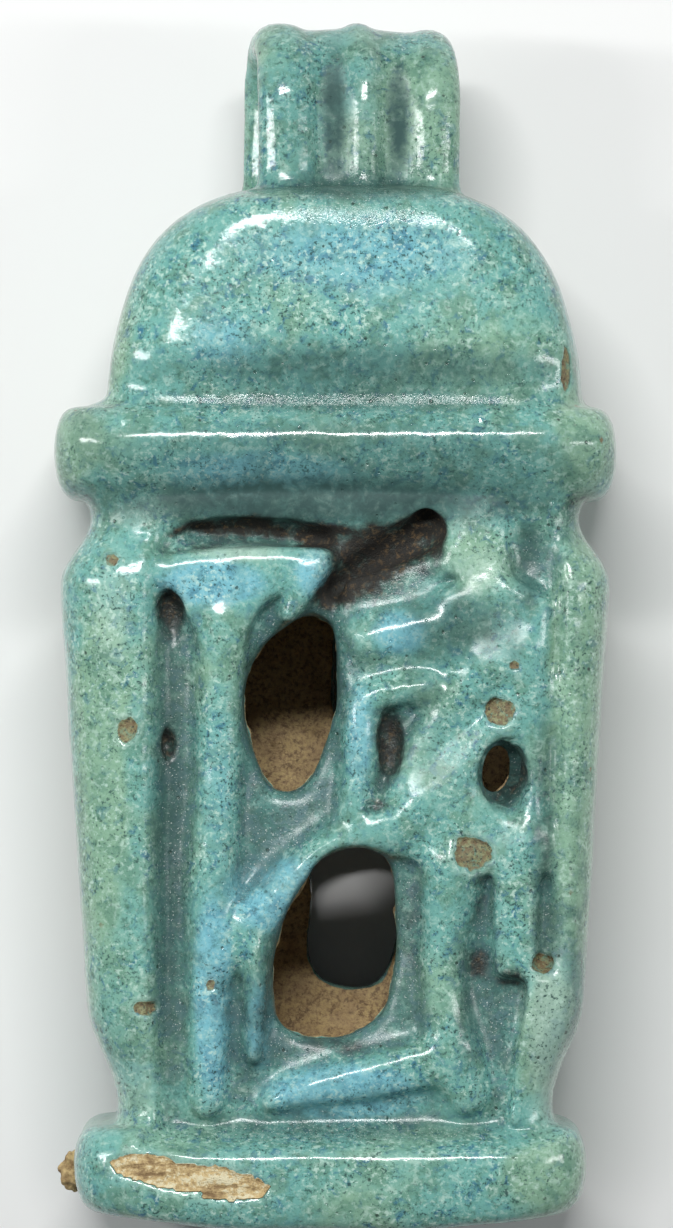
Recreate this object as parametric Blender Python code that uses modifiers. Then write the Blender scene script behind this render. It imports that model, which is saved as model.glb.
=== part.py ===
"""Openwork naos amulet: a small hollow shrine of glazed faience with a ribbed suspension loop.

The amulet lies on its back. X is its width, Y its height towards the loop, Z points out of its face.
The origin is on the surface that it lies on, under the middle of its box. Both faces were pressed in
one mould, so the back carries the face's relief turned half a turn about the height.
"""

import math

import bmesh
import bpy
from mathutils import Matrix, Vector

# Plinth
PLINTH_HEIGHT = 0.0030
PLINTH_WIDTH = 0.01447
PLINTH_SHIFT = -0.00013
PLINTH_BOW = 0.0006

# Shaft between plinth and cornice; its sides draw in at both ends
SHAFT_HEIGHT = 0.01757
SHAFT_FOOT_WIDTH = 0.0136
SHAFT_HEAD_WIDTH = 0.0158
SHAFT_FOOT_DEPTH = 0.0090
SHAFT_HEAD_DEPTH = 0.0097
FOOT_NECK_PINCH = 0.0007
FOOT_NECK_HEIGHT = 0.0034
HEAD_NECK_PINCH = 0.0010
HEAD_NECK_HEIGHT = 0.0024

# Cornice band, as deep as the plinth, so that the amulet lies level on both
CORNICE_HEIGHT = 0.00262
CORNICE_WIDTH = 0.01586
CORNICE_LEAN = 0.0007
CORNICE_SHELF = 0.0003
AMULET_DEPTH = 0.0100
REST_FLAT = 0.00008

# Domed roof
ROOF_HEIGHT = 0.00628
ROOF_FOOT_WIDTH = 0.0134
ROOF_DEPTH = 0.0090
ROOF_TUCK = 0.0003
ROOF_SHIFT = 0.00025

# Ribbed suspension loop, an arch over the roof whose hole runs from side to side
LOOP_HEIGHT = 0.00473
LOOP_WIDTH = 0.0059
LOOP_DEPTH = 0.0046
LOOP_WALL = 0.00128
LOOP_ROOT = 0.0010
LOOP_SHIFT = 0.00043
LOOP_TURN_DEG = 7.4
WEB_WALL = 0.0005
WEB_SINK = 0.00012

# Ribs of the loop in shares of its width: middle and half width, then how much lower the rib's crown is,
# in shares of the loop's height. The web joins the ribs between them.
RIBS = [(-0.338, 0.154, 0.006), (0.030, 0.104, 0.000), (0.369, 0.134, 0.036)]
WEB = (0.025, 0.370)

# Openwork panel sunk in each face, with a hollow behind it
RECESS_WIDTH = 0.0108
RECESS_SHIFT = 0.00065
RECESS_DEPTH = 0.0010
CAVETTO_HEIGHT = 0.0010
PANEL_WALL = 0.0010
SIDE_WALL = 0.0017
FLOOR_WALL = 0.0016
CEILING_WALL = 0.0017
RELIEF_HEIGHT = 0.00085
GROOVE_DEPTH = 0.00055
WALL_SLOPE = 0.0006
FOOT_SLOPE = 0.0005

# Clay spall that a kiln support left on the plinth's side
SCAR_SIZE = 0.0011

# How finely the fused clay is worked
CLAY_GRAIN = 0.00022
SMOOTHING_ROUNDS = 4
TRIANGLES = 8600

# Roundness of the sections: a higher power is boxier
RING_POINTS = 40
BOX_POWER = 7.0
DOME_POWER = 3.6
ROOF_EDGE_POWER = 14
ROOF_EDGE_FALL = 0.4
ROOF_LEAN = 0.06
ROOF_TUCK_END = 0.25
BAND_EDGE = 0.32
NOSE_SHARE = 0.7
NECK_MIDDLE = 0.2
NECK_DEPTH_SHARE = 0.45
ARCH_STEPS = 12

# How far a cutter runs past what it cuts
OVERRUN = 0.002

FACE_MIDDLE = AMULET_DEPTH / 2
HEIGHT = PLINTH_HEIGHT + SHAFT_HEIGHT + CORNICE_HEIGHT + ROOF_HEIGHT + LOOP_HEIGHT
SHAFT_FOOT_Y = PLINTH_HEIGHT - HEIGHT / 2
CORNICE_FOOT_Y = SHAFT_FOOT_Y + SHAFT_HEIGHT
ROOF_FOOT_Y = CORNICE_FOOT_Y + CORNICE_HEIGHT
ROOF_TOP_Y = ROOF_FOOT_Y + ROOF_HEIGHT

# The relief, in shares of the shaft's height: across from the middle line and up from the plinth.
# A slab is a flat form inside an outline, its first value its share of the relief's height.
SLABS = {
    "umbel": (0.85, [(-0.290, 0.905), (-0.200, 0.922), (-0.010, 0.925), (-0.020, 0.890), (-0.075, 0.862),
                     (-0.130, 0.815), (-0.145, 0.755), (-0.215, 0.755), (-0.235, 0.815), (-0.285, 0.870)]),
    "crown": (0.80, [(0.168, 0.880), (0.184, 0.985), (0.266, 0.985), (0.286, 0.880)]),
    "brow": (0.35, [(0.010, 0.870), (0.170, 0.920), (0.170, 0.800), (0.010, 0.800)]),
    "wig": (0.75, [(0.160, 0.850), (0.200, 0.868), (0.300, 0.868), (0.345, 0.840), (0.345, 0.740),
                   (0.160, 0.740)]),
    "chest": (0.45, [(0.010, 0.740), (0.345, 0.740), (0.345, 0.640), (0.230, 0.640), (0.150, 0.700),
                     (0.010, 0.700)]),
    "lap": (0.75, [(0.100, 0.560), (0.200, 0.600), (0.250, 0.500), (0.345, 0.480), (0.345, 0.405),
                   (0.215, 0.405), (0.110, 0.430), (0.060, 0.470)]),
    "seat": (1.16, [(0.310, 0.244), (0.385, 0.256), (0.357, 0.120), (0.334, 0.060), (0.326, 0.000),
                    (0.276, 0.000), (0.286, 0.090), (0.302, 0.180)]),
    "tail": (0.85, [(0.254, 0.450), (0.326, 0.450), (0.319, 0.236), (0.255, 0.236)]),
}
# A bar is a rounded ridge through points (across, up, half width).
BARS = {
    "papyrus_stem": [(-0.180, 0.820, 0.044), (-0.186, 0.579, 0.040), (-0.196, 0.401, 0.044),
                     (-0.202, 0.256, 0.036), (-0.205, 0.040, 0.034)],
    "umbel_hook": [(-0.020, 0.903, 0.024), (-0.050, 0.855, 0.024), (-0.075, 0.815, 0.020)],
    "muzzle": [(0.054, 0.777, 0.044), (0.100, 0.785, 0.048), (0.170, 0.796, 0.052)],
    "upper_arm": [(0.262, 0.748, 0.050), (0.210, 0.695, 0.042), (0.154, 0.620, 0.036), (0.113, 0.545, 0.032)],
    "hand_top": [(0.044, 0.682, 0.028), (0.090, 0.694, 0.030), (0.150, 0.702, 0.030)],
    "hand_front": [(0.042, 0.670, 0.034), (0.040, 0.579, 0.034), (0.030, 0.505, 0.032)],
    "reaching_arm": [(0.285, 0.650, 0.046), (0.218, 0.594, 0.048), (0.162, 0.530, 0.054),
                     (0.097, 0.482, 0.052), (0.016, 0.446, 0.046), (-0.073, 0.382, 0.044),
                     (-0.146, 0.312, 0.044), (-0.194, 0.264, 0.040)],
    "back_band": [(0.300, 0.780, 0.044), (0.314, 0.620, 0.028), (0.316, 0.530, 0.024), (0.298, 0.440, 0.034)],
    "leg": [(0.192, 0.440, 0.056), (0.176, 0.304, 0.042), (0.172, 0.207, 0.040),
            (0.190, 0.115, 0.048), (0.212, 0.050, 0.038)],
    "foot": [(-0.105, 0.036, 0.018), (-0.057, 0.054, 0.028), (0.024, 0.070, 0.036),
             (0.105, 0.088, 0.040), (0.178, 0.105, 0.044)],
    "reed": [(-0.126, 0.290, 0.022), (-0.130, 0.110, 0.018)],
}
# A mass is an oval (across, up, half width, half height, lean in degrees).
MASSES = {
    "head": (0.255, 0.778, 0.100, 0.082, 0.0),
    "shoulder_cap": (0.300, 0.690, 0.060, 0.070, 0.0),
    "thigh": (0.200, 0.480, 0.090, 0.070, -12.0),
}
GROOVES = {
    "under_cornice": [(-0.240, 0.948, 0.018), (-0.150, 0.953, 0.021), (0.000, 0.930, 0.024)],
    "over_muzzle": [(-0.012, 0.850, 0.024), (0.057, 0.893, 0.032), (0.110, 0.925, 0.036), (0.165, 0.975, 0.030)],
}
# Openings through the panels, each face's as seen from that face; they were pierced by hand
FRONT_OPENINGS = {
    "upper_opening": [(-0.020, 0.812), (0.002, 0.730), (-0.010, 0.625), (-0.082, 0.530),
                      (-0.136, 0.610), (-0.144, 0.705), (-0.097, 0.782)],
    "lower_opening": [(-0.010, 0.434), (0.080, 0.430), (0.095, 0.345), (0.090, 0.230), (0.065, 0.168),
                      (-0.078, 0.155), (-0.098, 0.215), (-0.088, 0.310), (-0.052, 0.385)],
    "side_opening": [(0.264, 0.610), (0.281, 0.575), (0.268, 0.535), (0.242, 0.528), (0.233, 0.560)],
}
BACK_OPENINGS = {
    "upper_opening": FRONT_OPENINGS["upper_opening"],
    "lower_opening": [(0.024, 0.434), (-0.080, 0.425), (-0.090, 0.255), (-0.062, 0.212),
                      (-0.018, 0.210), (0.030, 0.232), (0.034, 0.350)],
    "side_opening": FRONT_OPENINGS["side_opening"],
}


def remove_everything():
    for old in list(bpy.data.objects):
        bpy.data.objects.remove(old, do_unlink=True)
    for old in list(bpy.data.collections):
        bpy.data.collections.remove(old)


def add_collection(name):
    collection = bpy.data.collections.new(name)
    bpy.context.scene.collection.children.link(collection)
    return collection


def object_of(name, bm, collection):
    bmesh.ops.recalc_face_normals(bm, faces=bm.faces)
    mesh = bpy.data.meshes.new(name)
    bm.to_mesh(mesh)
    bm.free()
    made = bpy.data.objects.new(name, mesh)
    collection.objects.link(made)
    return made


def evaluated_mesh(source):
    bpy.context.view_layer.update()
    graph = bpy.context.evaluated_depsgraph_get()
    return bpy.data.meshes.new_from_object(source.evaluated_get(graph), depsgraph=graph)


def meshed(source, collection):
    """The object as a plain mesh object, its modifiers and curve settings applied."""
    mesh = evaluated_mesh(source)
    mesh.transform(source.matrix_world)
    name = source.name
    bpy.data.objects.remove(source, do_unlink=True)
    bm = bmesh.new()
    bm.from_mesh(mesh)
    bpy.data.meshes.remove(mesh)
    bmesh.ops.remove_doubles(bm, verts=bm.verts, dist=1e-7)
    return object_of(name, bm, collection)


def squircle(angle, half_width, half_depth, power):
    """A point of a rounded rectangle: across and out of the plane of the section."""
    c, s = math.cos(angle), math.sin(angle)
    across = math.copysign(abs(c) ** (2 / power), c)
    out = math.copysign(abs(s) ** (2 / power), s)
    return half_width * across, half_depth * out


def lofted(name, sections, collection):
    """A closed body through sections (height, half width, half depth, power, shift)."""
    bm = bmesh.new()
    bmesh.ops.create_circle(bm, cap_ends=True, segments=RING_POINTS, radius=1)
    ring = list(bm.verts)
    edges = list(bm.edges)
    for number, (height, half_width, half_depth, power, shift) in enumerate(sections):
        if number:
            grown = bmesh.ops.extrude_edge_only(bm, edges=edges)["geom"]
            ring = [g for g in grown if isinstance(g, bmesh.types.BMVert)]
            edges = [g for g in grown if isinstance(g, bmesh.types.BMEdge)]
            edges = [e for e in edges if all(v in ring for v in e.verts)]
        for place, vert in enumerate(ring):
            angle = 2 * math.pi * (place + 0.5) / RING_POINTS
            across, out = squircle(angle, half_width, half_depth, power)
            vert.co = Vector((shift + across, height, FACE_MIDDLE + out))
    bmesh.ops.contextual_create(bm, geom=edges)
    return object_of(name, bm, collection)


def band_sections(foot, height, width, depth, shift, lean=0.0, shelf=0.0, steps=8):
    """A band with rounded edges, as a plinth or a cornice has.

    A cornice's face leans in towards its foot, and its top slopes down to a nose as a shelf.
    """
    made = []
    for step in range(steps + 1):
        angle = math.pi * step / steps
        share = (1 - math.cos(angle)) / 2
        draw_in = height * BAND_EDGE * (1 - math.sin(angle) ** 0.5)
        below_nose = max(0.0, NOSE_SHARE - share) / NOSE_SHARE
        above_nose = max(0.0, share - NOSE_SHARE) / (1 - NOSE_SHARE)
        slope = lean * below_nose ** 2 + shelf * above_nose ** 2
        made.append((foot + height * share, width / 2 - draw_in, depth / 2 - draw_in - slope, BOX_POWER, shift))
    return made


def neck(distance, reach):
    """How far a neck draws in, as a share, at a distance from the shaft's end."""
    middle = reach * NECK_MIDDLE
    return (1 + math.cos(math.pi * min(1.0, abs(distance - middle) / (reach - middle)))) / 2


def shaft_half_sizes(rise):
    """Half width and half depth of the shaft at a height above the plinth. It draws in less in depth."""
    share = rise / SHAFT_HEIGHT
    pinch = FOOT_NECK_PINCH * neck(rise, FOOT_NECK_HEIGHT)
    pinch += HEAD_NECK_PINCH * neck(SHAFT_HEIGHT - rise, HEAD_NECK_HEIGHT)
    width = SHAFT_FOOT_WIDTH + (SHAFT_HEAD_WIDTH - SHAFT_FOOT_WIDTH) * share
    depth = SHAFT_FOOT_DEPTH + (SHAFT_HEAD_DEPTH - SHAFT_FOOT_DEPTH) * share
    return width / 2 - pinch, depth / 2 - pinch * NECK_DEPTH_SHARE


def shaft_sections(steps=24):
    """Sections of the shaft, closer together at its two necks."""
    made = []
    for step in range(1, steps):
        rise = SHAFT_HEIGHT * (1 - math.cos(math.pi * step / steps)) / 2
        made.append((SHAFT_FOOT_Y + rise, *shaft_half_sizes(rise), BOX_POWER, 0.0))
    return made


def roof_sections(steps=16):
    """The roof, domed from side to side, flatter and sharper at its top from front to back."""
    made = []
    for step in range(1, steps):
        angle = math.pi / 2 * step / steps
        rise = math.sin(angle)
        half_width = ROOF_FOOT_WIDTH / 2 * math.cos(angle) ** (2 / DOME_POWER)
        half_depth = ROOF_DEPTH / 2 * (1 - ROOF_LEAN * rise) * (1 - rise ** ROOF_EDGE_POWER) ** ROOF_EDGE_FALL
        half_depth -= ROOF_TUCK * max(0.0, 1 - rise / ROOF_TUCK_END) ** 2
        power = BOX_POWER + (DOME_POWER - BOX_POWER) * step / steps
        made.append((ROOF_FOOT_Y + ROOF_HEIGHT * rise, half_width, half_depth, power, ROOF_SHIFT))
    return made


def naos_block(collection):
    """Plinth, shaft, cornice and roof as one closed block, before its panels are cut."""
    plinth = band_sections(-HEIGHT / 2, PLINTH_HEIGHT, PLINTH_WIDTH, AMULET_DEPTH, PLINTH_SHIFT)
    cornice = band_sections(CORNICE_FOOT_Y, CORNICE_HEIGHT, CORNICE_WIDTH, AMULET_DEPTH, 0.0,
                            CORNICE_LEAN, CORNICE_SHELF)
    block = lofted("naos_block", plinth + shaft_sections() + cornice + roof_sections(), collection)
    for vert in block.data.vertices:
        depth_in_plinth = max(0.0, SHAFT_FOOT_Y - vert.co.y) / PLINTH_HEIGHT
        across = (vert.co.x - PLINTH_SHIFT) / (PLINTH_WIDTH / 2)
        vert.co.y += PLINTH_BOW * across ** 2 * depth_in_plinth
    return block


def panel_point(across, up):
    return across * SHAFT_HEIGHT, SHAFT_FOOT_Y + up * SHAFT_HEIGHT


def field_matrix():
    """Lays what was drawn flat on Z 0 on the sunk field of the face, which leans with the shaft."""
    lean = (SHAFT_HEAD_DEPTH - SHAFT_FOOT_DEPTH) / 2 / SHAFT_HEIGHT
    matrix = Matrix.Identity(4)
    matrix[2][1] = lean
    matrix[2][3] = FACE_MIDDLE + SHAFT_FOOT_DEPTH / 2 - RECESS_DEPTH - lean * SHAFT_FOOT_Y
    return matrix


def bar(name, points, height, collection):
    """A rounded ridge along a smooth line, its half width given at each point."""
    curve = bpy.data.curves.new(name, "CURVE")
    curve.dimensions = "3D"
    curve.bevel_depth = 1.0
    curve.bevel_resolution = 2
    curve.resolution_u = 3
    curve.use_fill_caps = True
    spline = curve.splines.new("BEZIER")
    spline.bezier_points.add(len(points) - 1)
    for knot, (across, up, half_width) in zip(spline.bezier_points, points):
        x, y = panel_point(across, up)
        knot.co = (x, y, 0.0)
        knot.radius = half_width * SHAFT_HEIGHT
        knot.handle_left_type = knot.handle_right_type = "AUTO"
    drawn = bpy.data.objects.new(name, curve)
    collection.objects.link(drawn)
    drawn = meshed(drawn, collection)
    mean = sum(half_width for _, _, half_width in points) / len(points) * SHAFT_HEIGHT
    drawn.data.transform(Matrix.Diagonal((1, 1, height / mean, 1)))
    return drawn


def oval(name, shape, height, collection):
    """A flattened ball over an oval of the panel."""
    across, up, half_width, half_height, lean = shape
    bm = bmesh.new()
    bmesh.ops.create_uvsphere(bm, u_segments=20, v_segments=12, radius=1.0)
    x, y = panel_point(across, up)
    size = Matrix.Diagonal((half_width * SHAFT_HEIGHT, half_height * SHAFT_HEIGHT, height, 1))
    place = Matrix.Translation((x, y, 0)) @ Matrix.Rotation(math.radians(lean), 4, "Z") @ size
    bmesh.ops.transform(bm, matrix=place, verts=bm.verts)
    return object_of(name, bm, collection)


def plate(name, outline, half_height, handles, collection):
    """A flat body inside a closed outline of the panel, smooth or straight-sided by its handles."""
    curve = bpy.data.curves.new(name, "CURVE")
    curve.dimensions = "2D"
    curve.fill_mode = "BOTH"
    curve.extrude = half_height
    curve.resolution_u = 4
    spline = curve.splines.new("BEZIER")
    spline.use_cyclic_u = True
    spline.bezier_points.add(len(outline) - 1)
    for knot, (across, up) in zip(spline.bezier_points, outline):
        knot.co = (*panel_point(across, up), 0.0)
        knot.handle_left_type = knot.handle_right_type = handles
    drawn = bpy.data.objects.new(name, curve)
    collection.objects.link(drawn)
    return meshed(drawn, collection)


def face_relief(collection):
    """Everything raised on one face: the papyrus column and the seated animal-headed deity."""
    made = []
    for name, (share, outline) in SLABS.items():
        made.append(plate(name, outline, share * RELIEF_HEIGHT, "VECTOR", collection))
    for name, points in BARS.items():
        made.append(bar(name, points, RELIEF_HEIGHT, collection))
        for across, up, half_width in (points[0], points[-1]):
            end = (across, up, half_width, half_width, 0.0)
            made.append(oval(name + "_end", end, RELIEF_HEIGHT, collection))
    for name, shape in MASSES.items():
        made.append(oval(name, shape, RELIEF_HEIGHT, collection))
    return made


def box_between(name, low, high, collection):
    bm = bmesh.new()
    bmesh.ops.create_cube(bm, size=1.0)
    low, high = Vector(low), Vector(high)
    place = Matrix.Translation((low + high) / 2) @ Matrix.Diagonal((*(high - low), 1))
    bmesh.ops.transform(bm, matrix=place, verts=bm.verts)
    return object_of(name, bm, collection)


def recess_cutter(collection):
    """Sinks the field between the pilasters. Its head slopes up to the cornice as a cavetto."""
    top = RECESS_DEPTH + OVERRUN
    flare = top / RECESS_DEPTH
    left, right = RECESS_SHIFT - RECESS_WIDTH / 2, RECESS_SHIFT + RECESS_WIDTH / 2
    head = CORNICE_FOOT_Y - CAVETTO_HEIGHT
    cutter = box_between("recess", (left, SHAFT_FOOT_Y, 0), (right, head, top), collection)
    for vert in cutter.data.vertices:
        if vert.co.z > 0:
            vert.co.y += CAVETTO_HEIGHT * flare if vert.co.y > 0 else -FOOT_SLOPE * flare
            vert.co.x += math.copysign(WALL_SLOPE * flare, vert.co.x)
    return cutter


def face_cutters(collection):
    made = [recess_cutter(collection)]
    for name, points in GROOVES.items():
        made.append(bar(name, points, GROOVE_DEPTH, collection))
    return made


def piercing_cutters(openings, collection):
    """What the openings were pierced with, after the relief was pressed."""
    reach = PANEL_WALL + RECESS_DEPTH + OVERRUN
    return [plate(name, outline, reach, "AUTO", collection) for name, outline in openings.items()]


def held_in(pieces):
    """Keeps relief from standing out of the shaft where the shaft is round or draws in."""
    for piece in pieces:
        for vert in piece.data.vertices:
            rise = min(max(vert.co.y - SHAFT_FOOT_Y, 0.0), SHAFT_HEIGHT)
            half_width, half_depth = shaft_half_sizes(rise)
            across = min(1.0, abs(vert.co.x) / half_width)
            limit = half_depth * (1 - across ** BOX_POWER) ** (1 / BOX_POWER)
            vert.co.z = min(max(vert.co.z, FACE_MIDDLE - limit), FACE_MIDDLE + limit)
    return pieces


def laid_on_front(drawn):
    for piece in drawn:
        piece.data.transform(field_matrix())
    return drawn


def laid_on_back(drawn):
    """Lays flat drawings on the back's field, which is the front's turned half round."""
    turn = Matrix.Translation((0, 0, FACE_MIDDLE)) @ Matrix.Rotation(math.pi, 4, "Y")
    turn = turn @ Matrix.Translation((0, 0, -FACE_MIDDLE))
    for piece in drawn:
        piece.data.transform(turn @ field_matrix())
    return drawn


def hollow_cutter(collection):
    """The empty inside, behind both panels."""
    half_depth = SHAFT_FOOT_DEPTH / 2 - RECESS_DEPTH - PANEL_WALL
    hollow = box_between(
        "hollow",
        (-1, SHAFT_FOOT_Y + FLOOR_WALL, FACE_MIDDLE - half_depth),
        (1, CORNICE_FOOT_Y - CEILING_WALL, FACE_MIDDLE + half_depth),
        collection,
    )
    for vert in hollow.data.vertices:
        width = SHAFT_HEAD_WIDTH if vert.co.y > 0 else SHAFT_FOOT_WIDTH
        vert.co.x = math.copysign(width / 2 - SIDE_WALL, vert.co.x)
    return hollow


def arch(name, middle, half_width, wall, crown, collection):
    """One arch of the loop, which springs from the roof at front and back."""
    reach = LOOP_DEPTH / 2 - LOOP_WALL / 2
    foot = ROOF_TOP_Y - LOOP_ROOT
    curve = bpy.data.curves.new(name, "CURVE")
    curve.dimensions = "3D"
    curve.bevel_depth = wall / 2
    curve.bevel_resolution = 3
    curve.use_fill_caps = True
    spline = curve.splines.new("POLY")
    line = [(foot, -reach)]
    for step in range(ARCH_STEPS + 1):
        angle = math.pi * step / ARCH_STEPS
        line.append((crown - wall / 2 - reach + reach * math.sin(angle), -reach * math.cos(angle)))
    line.append((foot, reach))
    spline.points.add(len(line) - 1)
    for knot, (height, out) in zip(spline.points, line):
        knot.co = (0.0, height, out, 1.0)
    drawn = bpy.data.objects.new(name, curve)
    collection.objects.link(drawn)
    drawn = meshed(drawn, collection)
    widen = Matrix.Diagonal((half_width / (wall / 2), 1, 1, 1))
    turn = Matrix.Translation((LOOP_SHIFT, 0, FACE_MIDDLE)) @ Matrix.Rotation(
        math.radians(LOOP_TURN_DEG), 4, "Y")
    drawn.data.transform(turn @ Matrix.Translation((middle, 0, 0)) @ widen)
    return drawn


def suspension_loop(collection):
    """Ribs side by side, and the thinner web between them."""
    top = ROOF_TOP_Y + LOOP_HEIGHT
    made = []
    for middle, half_width, drop in RIBS:
        made.append(arch("loop_rib", middle * LOOP_WIDTH, half_width * LOOP_WIDTH, LOOP_WALL,
                         top - drop * LOOP_HEIGHT, collection))
    middle, half_width = WEB
    made.append(arch("loop_web", middle * LOOP_WIDTH, half_width * LOOP_WIDTH, WEB_WALL, top - WEB_SINK,
                     collection))
    return made


def kiln_scar(collection):
    bm = bmesh.new()
    bmesh.ops.create_icosphere(bm, subdivisions=1, radius=SCAR_SIZE / 2)
    place = (PLINTH_SHIFT - PLINTH_WIDTH / 2, (SHAFT_FOOT_Y - HEIGHT / 2) / 2, FACE_MIDDLE)
    bmesh.ops.translate(bm, vec=place, verts=bm.verts)
    return object_of("kiln_scar", bm, collection)


def cut(block, cutters):
    for cutter in cutters:
        cutter.hide_render = True
        cutter.display_type = "WIRE"
        slot = block.modifiers.new(cutter.name, "BOOLEAN")
        slot.operation = "DIFFERENCE"
        slot.object = cutter


def work_clay(clay):
    """Gives the body an even grain."""
    remesh = clay.modifiers.new("clay", "REMESH")
    remesh.mode = "VOXEL"
    remesh.voxel_size = CLAY_GRAIN


def fused(name, pieces, collection):
    """One body of clay from overlapping pieces."""
    whole = bmesh.new()
    for piece in pieces:
        whole.from_mesh(piece.data)
    for piece in pieces:
        bpy.data.objects.remove(piece, do_unlink=True)
    clay = object_of(name, whole, collection)
    work_clay(clay)
    return meshed(clay, collection)


def rubbed_down(clay, collection):
    """The clay with its edges softened, in few facets."""
    work_clay(clay)
    smooth = clay.modifiers.new("rub_down", "SMOOTH")
    smooth.factor = 0.5
    smooth.iterations = SMOOTHING_ROUNDS
    clay = meshed(clay, collection)
    clay.data.calc_loop_triangles()
    reduce = clay.modifiers.new("facets", "DECIMATE")
    reduce.ratio = TRIANGLES / len(clay.data.loop_triangles)
    return meshed(clay, collection)


def lay_down(clay, helpers, collection):
    """Centres the amulet over the origin and grinds the small flats that it lies on."""
    corners = [Vector(corner) for corner in clay.bound_box]
    low = Vector(map(min, zip(*corners)))
    high = Vector(map(max, zip(*corners)))
    middle = (low + high) / 2
    clay.data.transform(Matrix.Translation((-middle.x, -middle.y, -low.z - REST_FLAT)))
    ground = box_between("ground", (-CORNICE_WIDTH, -HEIGHT, -OVERRUN), (CORNICE_WIDTH, HEIGHT, 0), helpers)
    cut(clay, [ground])
    return meshed(clay, collection)


def faience():
    material = bpy.data.materials.new("turquoise_faience")
    material.use_nodes = True
    shader = material.node_tree.nodes["Principled BSDF"]
    shader.inputs["Base Color"].default_value = (0.17, 0.42, 0.37, 1.0)
    shader.inputs["Roughness"].default_value = 0.22
    shader.inputs["Metallic"].default_value = 0.0
    return material


def main():
    remove_everything()
    amulet = add_collection("openwork_naos_amulet")
    helpers = add_collection("cutters")
    block = naos_block(amulet)
    cut(block, laid_on_front(face_cutters(helpers)) + laid_on_back(face_cutters(helpers)))
    pieces = [meshed(block, amulet), kiln_scar(amulet)] + suspension_loop(amulet)
    pieces += held_in(laid_on_front(face_relief(amulet)) + laid_on_back(face_relief(amulet)))
    clay = fused("naos_amulet", pieces, amulet)
    cut(clay, [hollow_cutter(helpers)])
    cut(clay, laid_on_front(piercing_cutters(FRONT_OPENINGS, helpers)))
    cut(clay, laid_on_back(piercing_cutters(BACK_OPENINGS, helpers)))
    clay = lay_down(rubbed_down(clay, amulet), helpers, amulet)
    clay.data.materials.append(faience())
    clay.data.shade_smooth()


main()
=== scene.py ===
"""Openwork naos amulet: its looks.

Models the amulet at a finer grain than its solid, weathers it and glazes it. It lies on its back on a
pale floor, and the camera looks straight down on it. X is its width, Y its height, Z points up.
"""

import math

import bmesh
import bpy
import numpy as np
from bpy.props import FloatProperty, FloatVectorProperty, IntProperty, PointerProperty
from bpy.types import Operator, Panel, PropertyGroup
from mathutils import Matrix, Vector, noise


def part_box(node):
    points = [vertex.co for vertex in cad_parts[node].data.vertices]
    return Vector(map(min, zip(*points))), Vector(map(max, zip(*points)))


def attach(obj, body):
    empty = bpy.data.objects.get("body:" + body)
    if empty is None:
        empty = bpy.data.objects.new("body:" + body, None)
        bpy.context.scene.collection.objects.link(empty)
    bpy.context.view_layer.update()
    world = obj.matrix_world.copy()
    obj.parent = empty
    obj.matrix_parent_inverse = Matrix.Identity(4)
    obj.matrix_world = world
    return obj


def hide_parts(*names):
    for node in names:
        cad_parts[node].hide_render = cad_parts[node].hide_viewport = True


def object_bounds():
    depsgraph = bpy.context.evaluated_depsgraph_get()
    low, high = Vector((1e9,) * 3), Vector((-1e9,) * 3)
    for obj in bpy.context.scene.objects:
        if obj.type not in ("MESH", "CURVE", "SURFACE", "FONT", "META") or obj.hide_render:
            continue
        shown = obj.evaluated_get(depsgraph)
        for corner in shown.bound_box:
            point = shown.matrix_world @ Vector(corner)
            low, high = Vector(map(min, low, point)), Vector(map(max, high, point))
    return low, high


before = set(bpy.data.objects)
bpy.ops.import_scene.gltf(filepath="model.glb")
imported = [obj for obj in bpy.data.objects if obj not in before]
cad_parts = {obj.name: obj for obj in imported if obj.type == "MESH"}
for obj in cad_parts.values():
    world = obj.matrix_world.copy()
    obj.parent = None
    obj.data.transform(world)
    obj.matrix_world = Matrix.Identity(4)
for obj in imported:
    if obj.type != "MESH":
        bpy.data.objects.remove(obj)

bl_info = {
    "name": "Openwork naos amulet",
    "version": (1, 0, 0),
    "blender": (4, 5, 0),
    "location": "View3D > Sidebar > Naos",
    "description": "Models and glazes a faience naos amulet with openwork panels",
    "category": "Object",
}

CAD_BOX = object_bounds()
NODE = "naos_amulet"
NODE_LOW, NODE_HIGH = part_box(NODE)
BODY = "root"
MM = 0.001

# The relief, in shares of the shaft's height: across from the middle line and up from the plinth.
# A slab is a flat form inside an outline, its first value its share of the relief's height.
SLABS = {
    "umbel": (0.85, [(-0.29, 0.905), (-0.2, 0.922), (-0.01, 0.925), (-0.02, 0.89), (-0.075, 0.862),
                     (-0.13, 0.815), (-0.145, 0.755), (-0.215, 0.755), (-0.235, 0.815), (-0.285, 0.87)]),
    "crown": (0.8, [(0.168, 0.88), (0.184, 0.985), (0.266, 0.985), (0.286, 0.88)]),
    "brow": (0.35, [(0.01, 0.87), (0.17, 0.92), (0.17, 0.8), (0.01, 0.8)]),
    "wig": (0.9, [(0.16, 0.85), (0.2, 0.868), (0.3, 0.868), (0.345, 0.84), (0.345, 0.74), (0.16, 0.74)]),
    "chest": (0.45, [(0.01, 0.74), (0.345, 0.74), (0.345, 0.64), (0.23, 0.64), (0.15, 0.7), (0.01, 0.7)]),
    "lap": (0.75, [(0.1, 0.56), (0.2, 0.6), (0.25, 0.5), (0.345, 0.48), (0.345, 0.405), (0.215, 0.405),
                   (0.11, 0.43), (0.06, 0.47)]),
    "seat": (1.16, [(0.31, 0.244), (0.385, 0.256), (0.357, 0.12), (0.334, 0.06), (0.326, 0.0), (0.276, 0.0),
                    (0.286, 0.09), (0.302, 0.18)]),
    "tail": (0.85, [(0.254, 0.45), (0.326, 0.45), (0.319, 0.236), (0.255, 0.236)]),
}
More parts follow.
